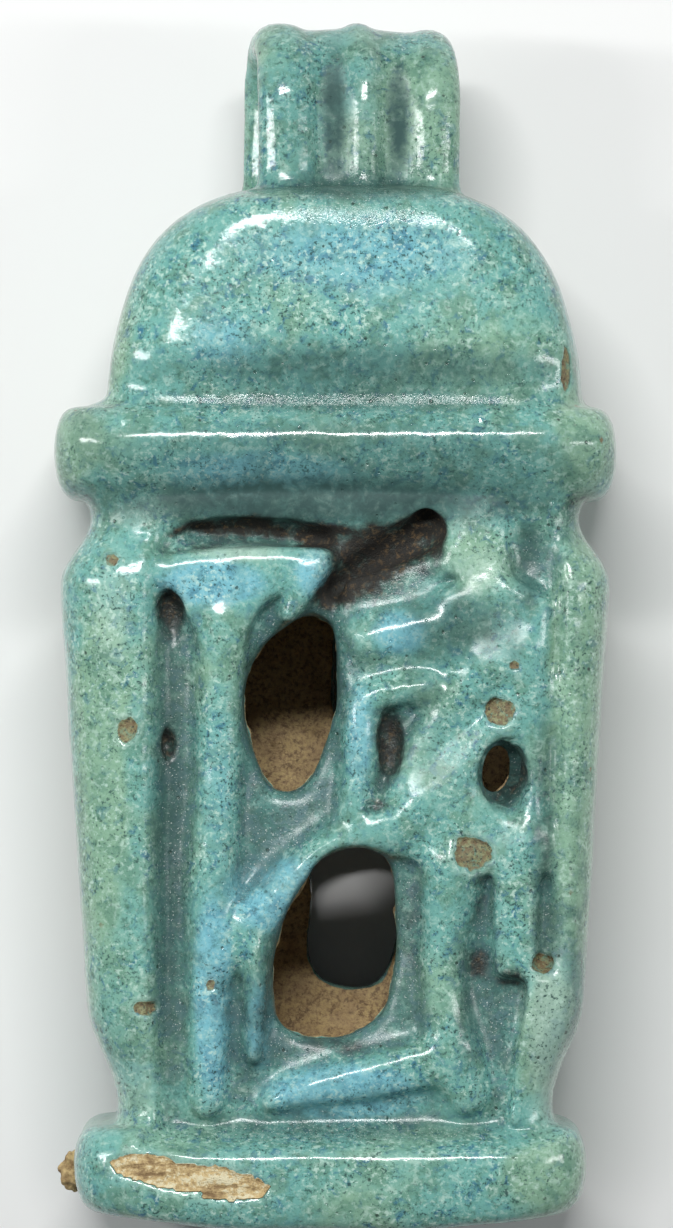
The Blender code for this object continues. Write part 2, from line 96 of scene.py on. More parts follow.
# A bar is a rounded ridge through points (across, up, half width).
BARS = {
    "papyrus_stem": [(-0.18, 0.82, 0.044), (-0.186, 0.579, 0.04), (-0.196, 0.401, 0.044),
                     (-0.202, 0.256, 0.036), (-0.205, 0.04, 0.034)],
    "umbel_hook": [(-0.02, 0.903, 0.024), (-0.05, 0.855, 0.024), (-0.075, 0.815, 0.02)],
    "muzzle": [(0.054, 0.777, 0.044), (0.1, 0.785, 0.048), (0.17, 0.796, 0.052)],
    "upper_arm": [(0.262, 0.748, 0.05), (0.21, 0.695, 0.042), (0.154, 0.62, 0.036), (0.113, 0.545, 0.032)],
    "hand_top": [(0.044, 0.682, 0.028), (0.09, 0.694, 0.03), (0.15, 0.702, 0.03)],
    "hand_front": [(0.042, 0.67, 0.034), (0.04, 0.579, 0.034), (0.03, 0.505, 0.032)],
    "reaching_arm": [(0.285, 0.65, 0.046), (0.218, 0.594, 0.048), (0.162, 0.53, 0.054),
                     (0.097, 0.482, 0.052), (0.016, 0.446, 0.046), (-0.073, 0.382, 0.044),
                     (-0.146, 0.312, 0.044), (-0.194, 0.264, 0.04)],
    "back_band": [(0.3, 0.78, 0.044), (0.314, 0.62, 0.028), (0.316, 0.53, 0.024), (0.298, 0.44, 0.034)],
    "leg": [(0.192, 0.44, 0.056), (0.176, 0.304, 0.042), (0.172, 0.207, 0.04), (0.19, 0.115, 0.048),
            (0.212, 0.05, 0.038)],
    "foot": [(-0.105, 0.036, 0.018), (-0.057, 0.054, 0.028), (0.024, 0.07, 0.036), (0.105, 0.088, 0.04),
             (0.178, 0.105, 0.044)],
    "reed": [(-0.126, 0.29, 0.022), (-0.13, 0.11, 0.018)],
}
# A mass is an oval (across, up, half width, half height, lean in degrees).
MASSES = {
    "shoulder_cap": (0.3, 0.69, 0.06, 0.07, 0.0),
    "thigh": (0.2, 0.48, 0.09, 0.07, -12.0),
}
GROOVES = {
    "under_cornice": [(-0.24, 0.948, 0.018), (-0.15, 0.953, 0.021), (0.0, 0.93, 0.024)],
    "over_muzzle": [(-0.012, 0.85, 0.024), (0.057, 0.893, 0.032), (0.11, 0.925, 0.036),
                    (0.165, 0.975, 0.03)],
}
# Openings through the panels, each face's as seen from that face
FRONT_OPENINGS = {
    "upper_opening": [(-0.02, 0.812), (0.002, 0.73), (-0.01, 0.625), (-0.082, 0.53), (-0.136, 0.61),
                      (-0.144, 0.705), (-0.097, 0.782)],
    "lower_opening": [(-0.01, 0.434), (0.08, 0.43), (0.095, 0.345), (0.09, 0.23), (0.065, 0.168),
                      (-0.078, 0.155), (-0.098, 0.215), (-0.088, 0.31), (-0.052, 0.385)],
    "side_opening": [(0.264, 0.61), (0.281, 0.575), (0.268, 0.535), (0.242, 0.528), (0.233, 0.56)],
}
BACK_OPENINGS = {
    **FRONT_OPENINGS,
    "lower_opening": [(0.024, 0.434), (-0.08, 0.425), (-0.09, 0.255), (-0.062, 0.212), (-0.018, 0.21),
                      (0.03, 0.232), (0.034, 0.35)],
}

# Ribs of the loop in shares of its width: middle and half width, then how much lower the rib's crown is,
# in shares of the loop's height. The web joins the ribs between them.
RIBS = [(-0.338, 0.148, 0.006), (0.03, 0.096, 0.0), (0.369, 0.128, 0.036)]
WEB = (0.025, 0.37)

# Blemishes of the face, in millimetres from the middle: x, y, radius across, radius up, depth
SPALLS = [
    (4.61, -2.5, 0.46, 0.46, 0.14), (3.84, -6.48, 0.62, 0.56, 0.16), (-5.82, -2.99, 0.34, 0.4, 0.12),
    (-5.32, -10.8, 0.42, 0.24, 0.12), (5.8, -9.55, 0.34, 0.3, 0.12), (-3.47, -10.18, 0.18, 0.18, 0.1),
    (5.03, -1.19, 0.16, 0.16, 0.1), (-6.25, 1.75, 0.2, 0.2, 0.06), (6.48, 7.1, 0.14, 0.7, 0.06),
]
BUBBLES = [
    (-5.91, 5.54, 0.14, 0.14, 0.12), (4.04, 5.58, 0.19, 0.17, 0.1), (0.28, 5.62, 0.2, 0.3, 0.1),
    (-4.66, -3.4, 0.22, 0.5, 0.35), (-5.35, 2.55, 0.1, 0.1, 0.06), (6.1, 3.4, 0.12, 0.12, 0.06),
    (1.55, -3.4, 0.4, 1.2, 0.25), (1.1, -5.2, 0.42, 0.26, 0.12), (-2.35, -1.3, 0.22, 0.22, 0.05),
    (4.75, -4.25, 0.8, 1.15, 0.3), (-4.6, 0.2, 0.45, 0.95, 0.2),
]
# Soft spots on the glaze, in millimetres from the middle: x, y, reach across, reach up, share. They are
# where it ran blue, stayed green, took brown stains and painted shadow, takes painted shade, is pale and
# partly painted light, is gritty with more painted glints, or is matt.
SPOTS = {
    "blue": [
        (-3.4, -10.5, 0.8, 4.0, 1.0), (-1.5, -7.6, 2.2, 1.5, 0.9), (0.3, -13.2, 3.0, 1.1, 1.0),
        (-0.6, 1.4, 0.8, 1.0, 0.8), (-3.4, 1.1, 2.0, 0.9, 1.0), (0.7, -3.2, 0.6, 2.2, 0.7),
        (-2.1, -11.3, 0.6, 1.8, 0.8), (-2.2, 4.2, 4.0, 0.9, 0.7), (0.5, 10.3, 4.5, 1.6, 0.6),
        (-3.1, 7.9, 1.6, 1.2, 0.5), (1.8, -0.3, 1.1, 0.9, 0.8), (-3.3, -4.5, 0.7, 4.0, 0.35),
    ],
    "green": [
        (-6.6, -4.0, 1.0, 7.0, 0.9), (6.9, -3.0, 1.2, 7.5, 1.0), (7.2, 5.3, 1.4, 1.6, 1.0),
        (-7.4, 5.0, 0.9, 1.4, 0.9), (6.3, -15.4, 1.8, 1.2, 0.9), (2.6, 15.0, 1.6, 2.0, 0.7),
        (5.9, -11.8, 1.1, 3.0, 0.95), (-6.3, 8.5, 0.8, 2.6, 0.6), (4.5, 1.8, 1.5, 1.6, 0.5),
    ],
    # Brown stains, the ones over the muzzle also painted shadow
    "stain_and_shadow": [
        (3.4, 3.6, 1.2, 0.7, 1.0), (1.6, 2.1, 1.5, 0.7, 1.0), (-4.6, 0.4, 0.6, 1.2, 0.8),
        (1.55, -3.4, 0.6, 1.5, 0.85), (1.1, -5.25, 0.8, 0.5, 0.8), (-4.66, -3.4, 0.34, 0.7, 1.0),
        (-2.1, 0.9, 0.5, 0.45, 0.85), (5.05, -10.05, 0.8, 0.6, 0.7), (4.0, -9.6, 0.5, 0.7, 0.65),
        (6.0, 3.6, 2.2, 0.55, 0.6), (4.75, -4.6, 0.6, 0.8, 0.6), (2.9, 16.0, 0.6, 0.5, 0.6),
        (-0.2, 0.75, 0.65, 0.65, 0.9), (0.0, -11.9, 1.8, 0.35, 0.5), (3.9, -7.6, 0.5, 1.4, 0.45),
        (6.55, 6.9, 0.35, 1.2, 0.5), (5.9, -6.0, 0.3, 2.6, 0.35), (-3.2, -9.9, 0.25, 1.6, 0.35),
        (-3.8, 2.0, 1.6, 0.45, 0.45), (2.2, -8.6, 0.3, 2.2, 0.35),
    ],
    # Painted shade: loop flutes, cornice face, cavetto, roof foot and other places darkened
    "painted_shade": [
        (-0.02, 14.4, 0.55, 2.8, 1.0), (1.78, 14.2, 0.48, 2.6, 1.0), (0.5, 12.3, 3.6, 0.65, 0.8),
        (0.5, 14.6, 4.2, 3.6, 0.25), (0.2, 6.25, 7.2, 0.5, 0.7), (-0.6, 3.45, 9.0, 1.1, 1.0),
        (1.4, 1.8, 1.8, 0.8, 0.9), (4.6, 3.4, 2.6, 0.8, 0.7), (5.8, -6.5, 0.45, 4.4, 0.45),
        (4.75, -4.25, 0.8, 1.15, 0.7), (0.0, -14.15, 6.4, 0.5, 0.6), (3.75, -11.3, 0.5, 1.6, 0.55),
        (-6.9, 5.1, 0.9, 1.2, 0.4), (5.0, -0.2, 0.4, 1.8, 0.35), (0.8, 7.1, 7.4, 1.0, 0.75),
        (0.0, 4.6, 9.4, 1.4, 0.6), (-2.2, -11.3, 0.8, 2.4, 0.45), (-4.7, -6.0, 0.6, 7.5, 0.6),
        (2.6, -1.6, 0.8, 2.2, 0.3), (3.4, -0.1, 2.1, 1.2, 0.7), (5.4, 1.8, 0.45, 2.2, 0.65),
        (2.6, 4.3, 5.0, 0.9, 0.45), (-1.2, 3.3, 6.5, 0.5, 0.55), (0.6, 13.3, 4.0, 0.9, 0.35),
    ],
    # Pale glaze, partly painted light where the lights leave a place darker
    "pale_and_painted_light": [
        (6.1, -11.5, 0.9, 3.4, 1.0), (-2.7, 1.95, 1.6, 0.3, 0.9), (-6.2, 0.5, 0.7, 2.2, 0.5),
        (4.0, 1.6, 1.2, 0.6, 0.4), (-5.6, -13.0, 0.9, 1.2, 0.4),
    ],
    "sparkle": [
        (0.8, 11.9, 3.6, 0.9, 1.0), (0.2, 6.1, 7.2, 0.4, 1.0), (0.0, -14.35, 6.8, 0.4, 1.0),
        (1.2, 1.6, 2.2, 1.2, 0.5),
    ],
    "matt": [
        (-0.02, 14.3, 0.55, 2.4, 1.0), (1.78, 14.1, 0.48, 2.2, 1.0), (3.2, -3.9, 1.9, 1.4, 0.36),
        (4.7, -0.6, 1.1, 1.2, 0.36), (3.0, 0.9, 2.0, 0.7, 0.2), (-0.5, 3.1, 7.0, 1.0, 0.9),
        (4.8, -6.4, 0.9, 1.2, 0.3),
    ],
}
# Stained lines of the face, near-black as painted shadow in the grooves under the cornice and over the
# muzzle, through panel points (across, up, half width)
STAIN_AND_SHADOW_LINES = [
    [(-0.262, 0.944, 0.008), (-0.225, 0.958, 0.011), (-0.18, 0.95, 0.016), (-0.13, 0.96, 0.018),
     (-0.085, 0.946, 0.017), (-0.04, 0.934, 0.022), (0.01, 0.95, 0.018), (0.05, 0.958, 0.022),
     (0.09, 0.98, 0.02), (0.15, 0.998, 0.02)],
    [(-0.02, 0.835, 0.016), (0.01, 0.862, 0.03), (0.057, 0.893, 0.044), (0.11, 0.925, 0.05),
     (0.165, 0.97, 0.038), (0.2, 1.0, 0.02)],
    [(0.03, 0.88, 0.024), (0.02, 0.92, 0.026), (0.07, 0.93, 0.036)],
]
# Ovals that make up the chip on the plinth's face, in millimetres: x, y, reach across, reach up
CHIP = [(-5.35, -15.2, 1.0, 0.36), (-4.15, -15.5, 1.3, 0.46), (-2.8, -15.82, 0.95, 0.42)]
# What the glaze reads at each point of the body
MASKS = ("groove", "painted_shade", "sparkle", "matt", "crest", "inner", "chip", "rust", "stain_and_shadow", "blue", "green")


def length(name, description, default):
    return FloatProperty(name=name, description=description, default=default, unit="LENGTH", precision=5)


def colour(name, description, default):
    return FloatVectorProperty(
        name=name, description=description, default=default, subtype="COLOR", size=3, min=0.0, max=1.0)


class NaosSizes(PropertyGroup):
    """Sizes of the amulet."""

    plinth_height: length("Plinth height", "Height of the plinth", 0.003)
    plinth_width: length("Plinth width", "Width of the plinth", 0.01447)
    plinth_shift: length("Plinth shift", "How far the plinth sits to one side", -0.00013)
    plinth_bow: length("Plinth bow", "How far the underside bulges in the middle", 0.0006)
    shaft_height: length("Shaft height", "Height between plinth and cornice", 0.01757)
    shaft_foot_width: length("Shaft foot width", "Width of the shaft at the plinth", 0.0136)
    shaft_head_width: length("Shaft head width", "Width of the shaft at the cornice", 0.0158)
    shaft_foot_depth: length("Shaft foot depth", "Depth of the shaft at the plinth", 0.009)
    shaft_head_depth: length("Shaft head depth", "Depth of the shaft at the cornice", 0.0097)
    foot_neck_pinch: length("Foot neck pinch", "How far the shaft draws in above the plinth", 0.0007)
    foot_neck_height: length("Foot neck height", "Height of the neck above the plinth", 0.0034)
    head_neck_pinch: length("Head neck pinch", "How far the shaft draws in below the cornice", 0.001)
    head_neck_height: length("Head neck height", "Height of the neck below the cornice", 0.0024)
    cornice_height: length("Cornice height", "Height of the cornice band", 0.00262)
    cornice_width: length("Cornice width", "Width of the cornice band", 0.01586)
    depth: length("Depth", "Depth of cornice and plinth", 0.01)
    roof_height: length("Roof height", "Height of the domed roof", 0.00628)
    roof_foot_width: length("Roof width", "Width of the roof at the cornice", 0.0134)
    roof_depth: length("Roof depth", "Depth of the roof", 0.009)
    roof_tuck: length("Roof tuck", "How far the roof draws in at the cornice", 0.0003)
    roof_shift: length("Roof shift", "How far the roof sits to one side", 0.00025)
    loop_height: length("Loop height", "Height of the loop above the roof", 0.00473)
    loop_width: length("Loop width", "Width of all the loop's ribs", 0.0059)
    loop_depth: length("Loop depth", "Depth of the loop", 0.0046)
    loop_wall: length("Loop wall", "Thickness of a rib", 0.00128)
    loop_root: length("Loop root", "How deep the ribs sink into the roof", 0.001)
    loop_shift: length("Loop shift", "How far the loop sits to one side", 0.00043)
    web_wall: length("Web wall", "Thickness of the loop between its ribs", 0.0005)
    web_sink: length("Web sink", "How far the web's crown lies below the ribs'", 0.0002)
    cornice_lean: length("Cornice lean", "How far the cornice's face leans in at its foot", 0.0007)
    cornice_shelf: length("Cornice shelf", "How far the cornice's top slopes down to its nose", 0.0003)
    recess_width: length("Recess width", "Width of the sunk panel", 0.0108)
    recess_shift: length("Recess shift", "How far the panel sits to one side", 0.00065)
    recess_depth: length("Recess depth", "Depth of the sunk panel", 0.001)
    cavetto_height: length("Cavetto height", "Height of the slope at the panel's head", 0.001)
    panel_wall: length("Panel wall", "Thickness of the pierced panel", 0.001)
    side_wall: length("Side wall", "Thickness of the sides", 0.0017)
    floor_wall: length("Floor wall", "Thickness below the hollow", 0.0016)
    ceiling_wall: length("Ceiling wall", "Thickness above the hollow", 0.0017)
    relief_height: length("Relief height", "Height of the relief over its field", 0.00085)
    groove_depth: length("Groove depth", "Depth of the grooves in the field", 0.0007)
    wall_slope: length("Wall slope", "How far the panel's sides lean out", 0.0006)
    foot_slope: length("Foot slope", "How far the panel's foot leans out", 0.0005)
    scar_size: length("Scar size", "Size of the kiln scar on the plinth", 0.0011)
    grain: length("Grain", "Size of the finest form that the clay holds", 0.0001)
    triangles: IntProperty(name="Triangles", description="Most triangles of the body", default=190000)
    loop_turn: FloatProperty(
        name="Loop turn", description="How far the loop is turned", default=math.radians(7.4),
        subtype="ANGLE")


class NaosColours(PropertyGroup):
    """Colours of glaze, clay and stage."""

    green: colour("Green glaze", "Pale green-turquoise glaze of the edges", (0.235, 0.41, 0.285))
    turquoise: colour("Turquoise glaze", "Most of the glaze", (0.155, 0.385, 0.34))
    blue: colour("Blue glaze", "Where the glaze ran blue", (0.19, 0.48, 0.57))
    deep_blue: colour("Deep blue", "Blue mottles", (0.035, 0.15, 0.24))
    deep_green: colour("Deep green", "Green mottles", (0.05, 0.15, 0.105))
    # Dark grain of the glaze, and painted shade in the hollows and in the painted-shade spots
    deep_glaze_and_shade: colour("Deep glaze", "Dull glaze in the hollows", (0.03, 0.075, 0.07))
    # Painted shade in the hollows, mixed with the deep colour
    slate_shade: colour("Slate glaze", "Grey-blue glaze in the hollows", (0.075, 0.15, 0.155))
    olive: colour("Olive glaze", "Darker olive-green patches", (0.12, 0.26, 0.185))
    # Pale grain of the glaze, and painted light in the pale spots
    pale_and_painted_light: colour("Pale grain", "Pale grain in the glaze", (0.5, 0.69, 0.6))
    # Painted white glints in the hollows and in the gritty spots
    painted_glint: colour("Glints", "White glints in the hollows", (0.85, 0.9, 0.85))
    dark: colour("Dark flecks", "Flecks and pinholes", (0.02, 0.045, 0.035))
    # Brown stain, also near-black painted shadow in the grooves under the cornice and over the muzzle
    stain_and_shadow: colour("Brown stain", "Staining in the deepest lines", (0.014, 0.011, 0.008))
    clay: colour("Bare clay", "Golden clay in the chip", (0.54, 0.4, 0.19))
    cream: colour("Cream clay", "Pale fibres in the chip", (0.66, 0.6, 0.4))
    soot: colour("Inner clay", "Rough clay inside", (0.3, 0.2, 0.105))
    ochre: colour("Ochre clay", "Lighter clay in the pits", (0.25, 0.22, 0.095))
    rust: colour("Rusty clay", "Ochre clay in the pits", (0.18, 0.11, 0.045))
    floor: colour("Floor", "Pale floor", (0.78, 0.78, 0.77))


class NaosStudio(PropertyGroup):
    """Camera and lights."""

    lens: FloatProperty(name="Lens", description="Focal length in millimetres", default=300.0)
    frame_height: length("Frame height", "Height that the picture takes in", 0.03491)
    aim_x: length("Aim across", "Middle of the picture across", 0.00004)
    aim_y: length("Aim up", "Middle of the picture up", 0.00023)
    brightness: FloatProperty(name="Brightness", description="Strength of all lights", default=1.0)


class Levels:
    """Heights and planes that follow from the sizes."""

    def __init__(self, sizes):
        self.middle = sizes.depth / 2
        self.height = (sizes.plinth_height + sizes.shaft_height + sizes.cornice_height
                       + sizes.roof_height + sizes.loop_height)
        self.foot = -self.height / 2
        self.shaft_foot = self.foot + sizes.plinth_height
        self.cornice_foot = self.shaft_foot + sizes.shaft_height
        self.roof_foot = self.cornice_foot + sizes.cornice_height
        self.roof_top = self.roof_foot + sizes.roof_height
        self.hollow_half_depth = sizes.shaft_foot_depth / 2 - sizes.recess_depth - sizes.panel_wall


def linked(name, data):
    """A new object of the scene that shows the data."""
    made = bpy.data.objects.new(name, data)
    bpy.context.scene.collection.objects.link(made)
    return made


def object_of(name, bm):
    """The bmesh as an object, its faces turned outwards."""
    bmesh.ops.recalc_face_normals(bm, faces=bm.faces)
    mesh = bpy.data.meshes.new(name)
    bm.to_mesh(mesh)
    bm.free()
    return linked(name, mesh)


def evaluated_mesh(source):
    bpy.context.view_layer.update()
    graph = bpy.context.evaluated_depsgraph_get()
    return bpy.data.meshes.new_from_object(source.evaluated_get(graph), depsgraph=graph)


def meshed(source):
    """The object as a plain mesh object, its modifiers and curve settings applied."""
    mesh = evaluated_mesh(source)
    name = source.name
    bpy.data.objects.remove(source, do_unlink=True)
    bm = bmesh.new()
    bm.from_mesh(mesh)
    bpy.data.meshes.remove(mesh)
    bmesh.ops.remove_doubles(bm, verts=bm.verts, dist=1e-7)
    return object_of(name, bm)


def modified(owner, kind, **settings):
    """Gives the object a modifier of this kind."""
    made = owner.modifiers.new(kind.lower(), kind)
    for name, value in settings.items():
        setattr(made, name, value)
    return made


def cut(block, cutters):
    """The block without what the cutters take up."""
    for cutter in cutters:
        modified(block, "BOOLEAN", operation="DIFFERENCE", object=cutter)
    return meshed(block)


def squircle(angle, half_width, half_depth, power):
    """A point of a rounded rectangle: across and out of the plane of the section."""
    c, s = math.cos(angle), math.sin(angle)
    return (half_width * math.copysign(abs(c) ** (2 / power), c),
            half_depth * math.copysign(abs(s) ** (2 / power), s))


def lofted(name, sections, middle, points=96):
    """A closed body through sections (height, half width, half depth, power, shift)."""
    bm = bmesh.new()
    bmesh.ops.create_circle(bm, cap_ends=True, segments=points, radius=1)
    ring = list(bm.verts)
    edges = list(bm.edges)
    for number, (height, half_width, half_depth, power, shift) in enumerate(sections):
        if number:
            grown = bmesh.ops.extrude_edge_only(bm, edges=edges)["geom"]
            ring = [g for g in grown if isinstance(g, bmesh.types.BMVert)]
            edges = [g for g in grown if isinstance(g, bmesh.types.BMEdge)]
            edges = [e for e in edges if all(v in ring for v in e.verts)]
        for place, vert in enumerate(ring):
            across, out = squircle(2 * math.pi * (place + 0.5) / points, half_width, half_depth, power)
            vert.co = Vector((shift + across, height, middle + out))
    bmesh.ops.contextual_create(bm, geom=edges)
    return object_of(name, bm)


BOX_POWER = 7.0
DOME_POWER = 3.6
ROOF_EDGE_POWER = 28
ROOF_EDGE_FALL = 0.4
ROOF_LEAN = 0.06
ROOF_TUCK_END = 0.25
BAND_EDGE = 0.32
NOSE_SHARE = 0.7
NECK_MIDDLE = 0.2
NECK_DEPTH_SHARE = 0.45
# How far cutters reach past what they cut
OVERRUN = 0.002


def band_sections(foot, height, width, depth, shift, lean=0.0, shelf=0.0, steps=20):
    """A band with rounded edges. A cornice's face leans in below its nose and its top slopes down to it."""
    made = []
    for step in range(steps + 1):
        angle = math.pi * step / steps
        share = (1 - math.cos(angle)) / 2
        draw_in = height * BAND_EDGE * (1 - math.sin(angle) ** 0.5)
        below_nose = max(0.0, NOSE_SHARE - share) / NOSE_SHARE
        above_nose = max(0.0, share - NOSE_SHARE) / (1 - NOSE_SHARE)
        slope = lean * below_nose ** 2 + shelf * above_nose ** 2
        made.append((foot + height * share, width / 2 - draw_in, depth / 2 - draw_in - slope,
                     BOX_POWER, shift))
    return made


def neck(distance, reach):
    """How far a neck draws in, as a share, at a distance from the shaft's end."""
    middle = reach * NECK_MIDDLE
    return (1 + np.cos(np.pi * np.minimum(1.0, abs(distance - middle) / (reach - middle)))) / 2


def tapered(foot, head, share):
    """A size that runs evenly from what it is at the foot to what it is at the head."""
    return foot + (head - foot) * share


def shaft_half_sizes(sizes, rise):
    """Half width and half depth of the shaft at a height above the plinth. It draws in less in depth."""
    share = rise / sizes.shaft_height
    pinch = sizes.foot_neck_pinch * neck(rise, sizes.foot_neck_height)
    pinch += sizes.head_neck_pinch * neck(sizes.shaft_height - rise, sizes.head_neck_height)
    width = tapered(sizes.shaft_foot_width, sizes.shaft_head_width, share)
    depth = tapered(sizes.shaft_foot_depth, sizes.shaft_head_depth, share)
    return width / 2 - pinch, depth / 2 - pinch * NECK_DEPTH_SHARE


def shaft_sections(sizes, levels, steps=48):
    """Sections of the shaft, closer together at its two necks."""
    made = []
    for step in range(1, steps):
        rise = sizes.shaft_height * (1 - math.cos(math.pi * step / steps)) / 2
        made.append((levels.shaft_foot + rise, *shaft_half_sizes(sizes, rise), BOX_POWER, 0.0))
    return made


def roof_sections(sizes, levels, steps=40):
    """The roof, domed from side to side, flatter and sharper at its top from front to back."""
    made = []
    for step in range(1, steps):
        angle = math.pi / 2 * step / steps
        rise = math.sin(angle)
        half_width = sizes.roof_foot_width / 2 * math.cos(angle) ** (2 / DOME_POWER)
        edge = (1 - rise ** ROOF_EDGE_POWER) ** ROOF_EDGE_FALL
        half_depth = sizes.roof_depth / 2 * (1 - ROOF_LEAN * rise) * edge
        half_depth -= sizes.roof_tuck * max(0.0, 1 - rise / ROOF_TUCK_END) ** 2
        power = BOX_POWER + (DOME_POWER - BOX_POWER) * step / steps
        made.append((levels.roof_foot + sizes.roof_height * rise, half_width, half_depth, power,
                     sizes.roof_shift))
    return made


def naos_block(sizes, levels):
    """Plinth, shaft, cornice and roof as one closed block."""
    sections = band_sections(levels.foot, sizes.plinth_height, sizes.plinth_width, sizes.depth,
                             sizes.plinth_shift)
    sections += shaft_sections(sizes, levels)
    sections += band_sections(levels.cornice_foot, sizes.cornice_height, sizes.cornice_width, sizes.depth,
                              0.0, sizes.cornice_lean, sizes.cornice_shelf)
    sections += roof_sections(sizes, levels)
    block = lofted("naos_block", sections, levels.middle)
    for vert in block.data.vertices:
        depth_in_plinth = max(0.0, levels.shaft_foot - vert.co.y) / sizes.plinth_height
        across = (vert.co.x - sizes.plinth_shift) / (sizes.plinth_width / 2)
        vert.co.y += sizes.plinth_bow * across ** 2 * depth_in_plinth
    return block


class PanelDrawing:
    """Draws forms flat on Z 0 in shares of the panel, and lays them on both fields of the shaft."""

    def __init__(self, sizes, levels):
        self.sizes, self.levels = sizes, levels
        lean = (sizes.shaft_head_depth - sizes.shaft_foot_depth) / 2 / sizes.shaft_height
        self.front = Matrix.Identity(4)
        self.front[2][1] = lean
        self.front[2][3] = (levels.middle + sizes.shaft_foot_depth / 2 - sizes.recess_depth
                            - lean * levels.shaft_foot)
        about_middle = Matrix.Translation((0, 0, levels.middle))
        self.back = about_middle @ Matrix.Rotation(math.pi, 4, "Y") @ about_middle.inverted() @ self.front

    def point(self, across, up):
        return across * self.sizes.shaft_height, self.levels.shaft_foot + up * self.sizes.shaft_height

    def curve(self, name, dimensions, points, handles):
        """An object with one smooth or straight-sided spline through panel points."""
        curve = bpy.data.curves.new(name, "CURVE")
        curve.dimensions = dimensions
        spline = curve.splines.new("BEZIER")
        spline.bezier_points.add(len(points) - 1)
        for knot, (across, up, *_) in zip(spline.bezier_points, points):
            knot.co = (*self.point(across, up), 0.0)
            knot.handle_left_type = knot.handle_right_type = handles
        return linked(name, curve), curve, spline

    def bar(self, name, points, height):
        """A rounded ridge along a smooth line, its half width given at each point."""
        drawn, curve, spline = self.curve(name, "3D", points, "AUTO")
        curve.bevel_depth = 1.0
        curve.bevel_resolution = 6
        curve.resolution_u = 12
        curve.use_fill_caps = True
        for knot, (_, _, half_width) in zip(spline.bezier_points, points):
            knot.radius = half_width * self.sizes.shaft_height
        drawn = meshed(drawn)
        mean = sum(half_width for _, _, half_width in points) / len(points) * self.sizes.shaft_height
        drawn.data.transform(Matrix.Diagonal((1, 1, height / mean, 1)))
        return drawn

    def oval(self, name, shape, height):
        """A flattened ball over an oval of the panel."""
        across, up, half_width, half_height, lean = shape
        bm = bmesh.new()
        bmesh.ops.create_uvsphere(bm, u_segments=32, v_segments=20, radius=1.0)
        scale = self.sizes.shaft_height
        size = Matrix.Diagonal((half_width * scale, half_height * scale, height, 1))
        turn = Matrix.Rotation(math.radians(lean), 4, "Z")
        place = Matrix.Translation((*self.point(across, up), 0)) @ turn
        bmesh.ops.transform(bm, matrix=place @ size, verts=bm.verts)
        return object_of(name, bm)

    def plate(self, name, outline, half_height, handles):
        """A flat body inside a closed outline of the panel."""
        drawn, curve, spline = self.curve(name, "2D", outline, handles)
        curve.fill_mode = "BOTH"
        curve.extrude = half_height
        curve.resolution_u = 8
        spline.use_cyclic_u = True
        return meshed(drawn)

    def relief(self):
        """Everything raised on one face: the papyrus column and the seated animal-headed deity."""
        height = self.sizes.relief_height
        made = [self.plate(name, outline, share * height, "VECTOR")
                for name, (share, outline) in SLABS.items()]
        for name, points in BARS.items():
            made.append(self.bar(name, points, height))
            for across, up, half_width in (points[0], points[-1]):
                made.append(self.oval(name + "_end", (across, up, half_width, half_width, 0.0), height))
        made += [self.oval(name, shape, height) for name, shape in MASSES.items()]
        return made

    def recess(self):
        """What sinks the field between the pilasters. Its head slopes up to the cornice as a cavetto."""
        sizes, levels = self.sizes, self.levels
        top = sizes.recess_depth + OVERRUN
        flare = top / sizes.recess_depth
        half = sizes.recess_width / 2
        head = levels.cornice_foot - sizes.cavetto_height
        cutter = box_between("recess", (sizes.recess_shift - half, levels.shaft_foot, 0),
                             (sizes.recess_shift + half, head, top))
        for vert in cutter.data.vertices:
            if vert.co.z > 0:
                vert.co.y += sizes.cavetto_height * flare if vert.co.y > 0 else -sizes.foot_slope * flare
                vert.co.x += math.copysign(sizes.wall_slope * flare, vert.co.x)
        return cutter

    def field_cutters(self):
        """What sinks one panel and its grooves."""
        made = [self.recess()]
        made += [self.bar(name, points, self.sizes.groove_depth) for name, points in GROOVES.items()]
        return made

    def piercings(self, openings):
        """What cuts the openings through the panel."""
        reach = self.sizes.panel_wall + self.sizes.recess_depth + OVERRUN
        return [self.plate(name, outline, reach, "AUTO") for name, outline in openings.items()]

    @staticmethod
    def laid(drawn, matrix):
        for piece in drawn:
            piece.data.transform(matrix)
        return drawn

    def held_in(self, pieces):
        """Keeps relief from standing out of the shaft where the shaft is round or draws in."""
        for piece in pieces:
            for vert in piece.data.vertices:
                rise = min(max(vert.co.y - self.levels.shaft_foot, 0.0), self.sizes.shaft_height)
                half_width, half_depth = shaft_half_sizes(self.sizes, rise)
                across = min(1.0, abs(vert.co.x) / half_width)
                limit = half_depth * (1 - across ** BOX_POWER) ** (1 / BOX_POWER)
                vert.co.z = min(max(vert.co.z, self.levels.middle - limit), self.levels.middle + limit)
        return pieces


def box_between(name, low, high):
    bm = bmesh.new()
    bmesh.ops.create_cube(bm, size=1.0)
    low, high = Vector(low), Vector(high)
    place = Matrix.Translation((low + high) / 2) @ Matrix.Diagonal((*(high - low), 1))
    bmesh.ops.transform(bm, matrix=place, verts=bm.verts)
    return object_of(name, bm)


def hollow(sizes, levels):
    """What the inside is emptied with."""
    half_depth = levels.hollow_half_depth
    made = box_between("hollow",
                       (-1, levels.shaft_foot + sizes.floor_wall, levels.middle - half_depth),
                       (1, levels.cornice_foot - sizes.ceiling_wall, levels.middle + half_depth))
    for vert in made.data.vertices:
        width = sizes.shaft_head_width if vert.co.y > 0 else sizes.shaft_foot_width
        vert.co.x = math.copysign(width / 2 - sizes.side_wall, vert.co.x)
    return made


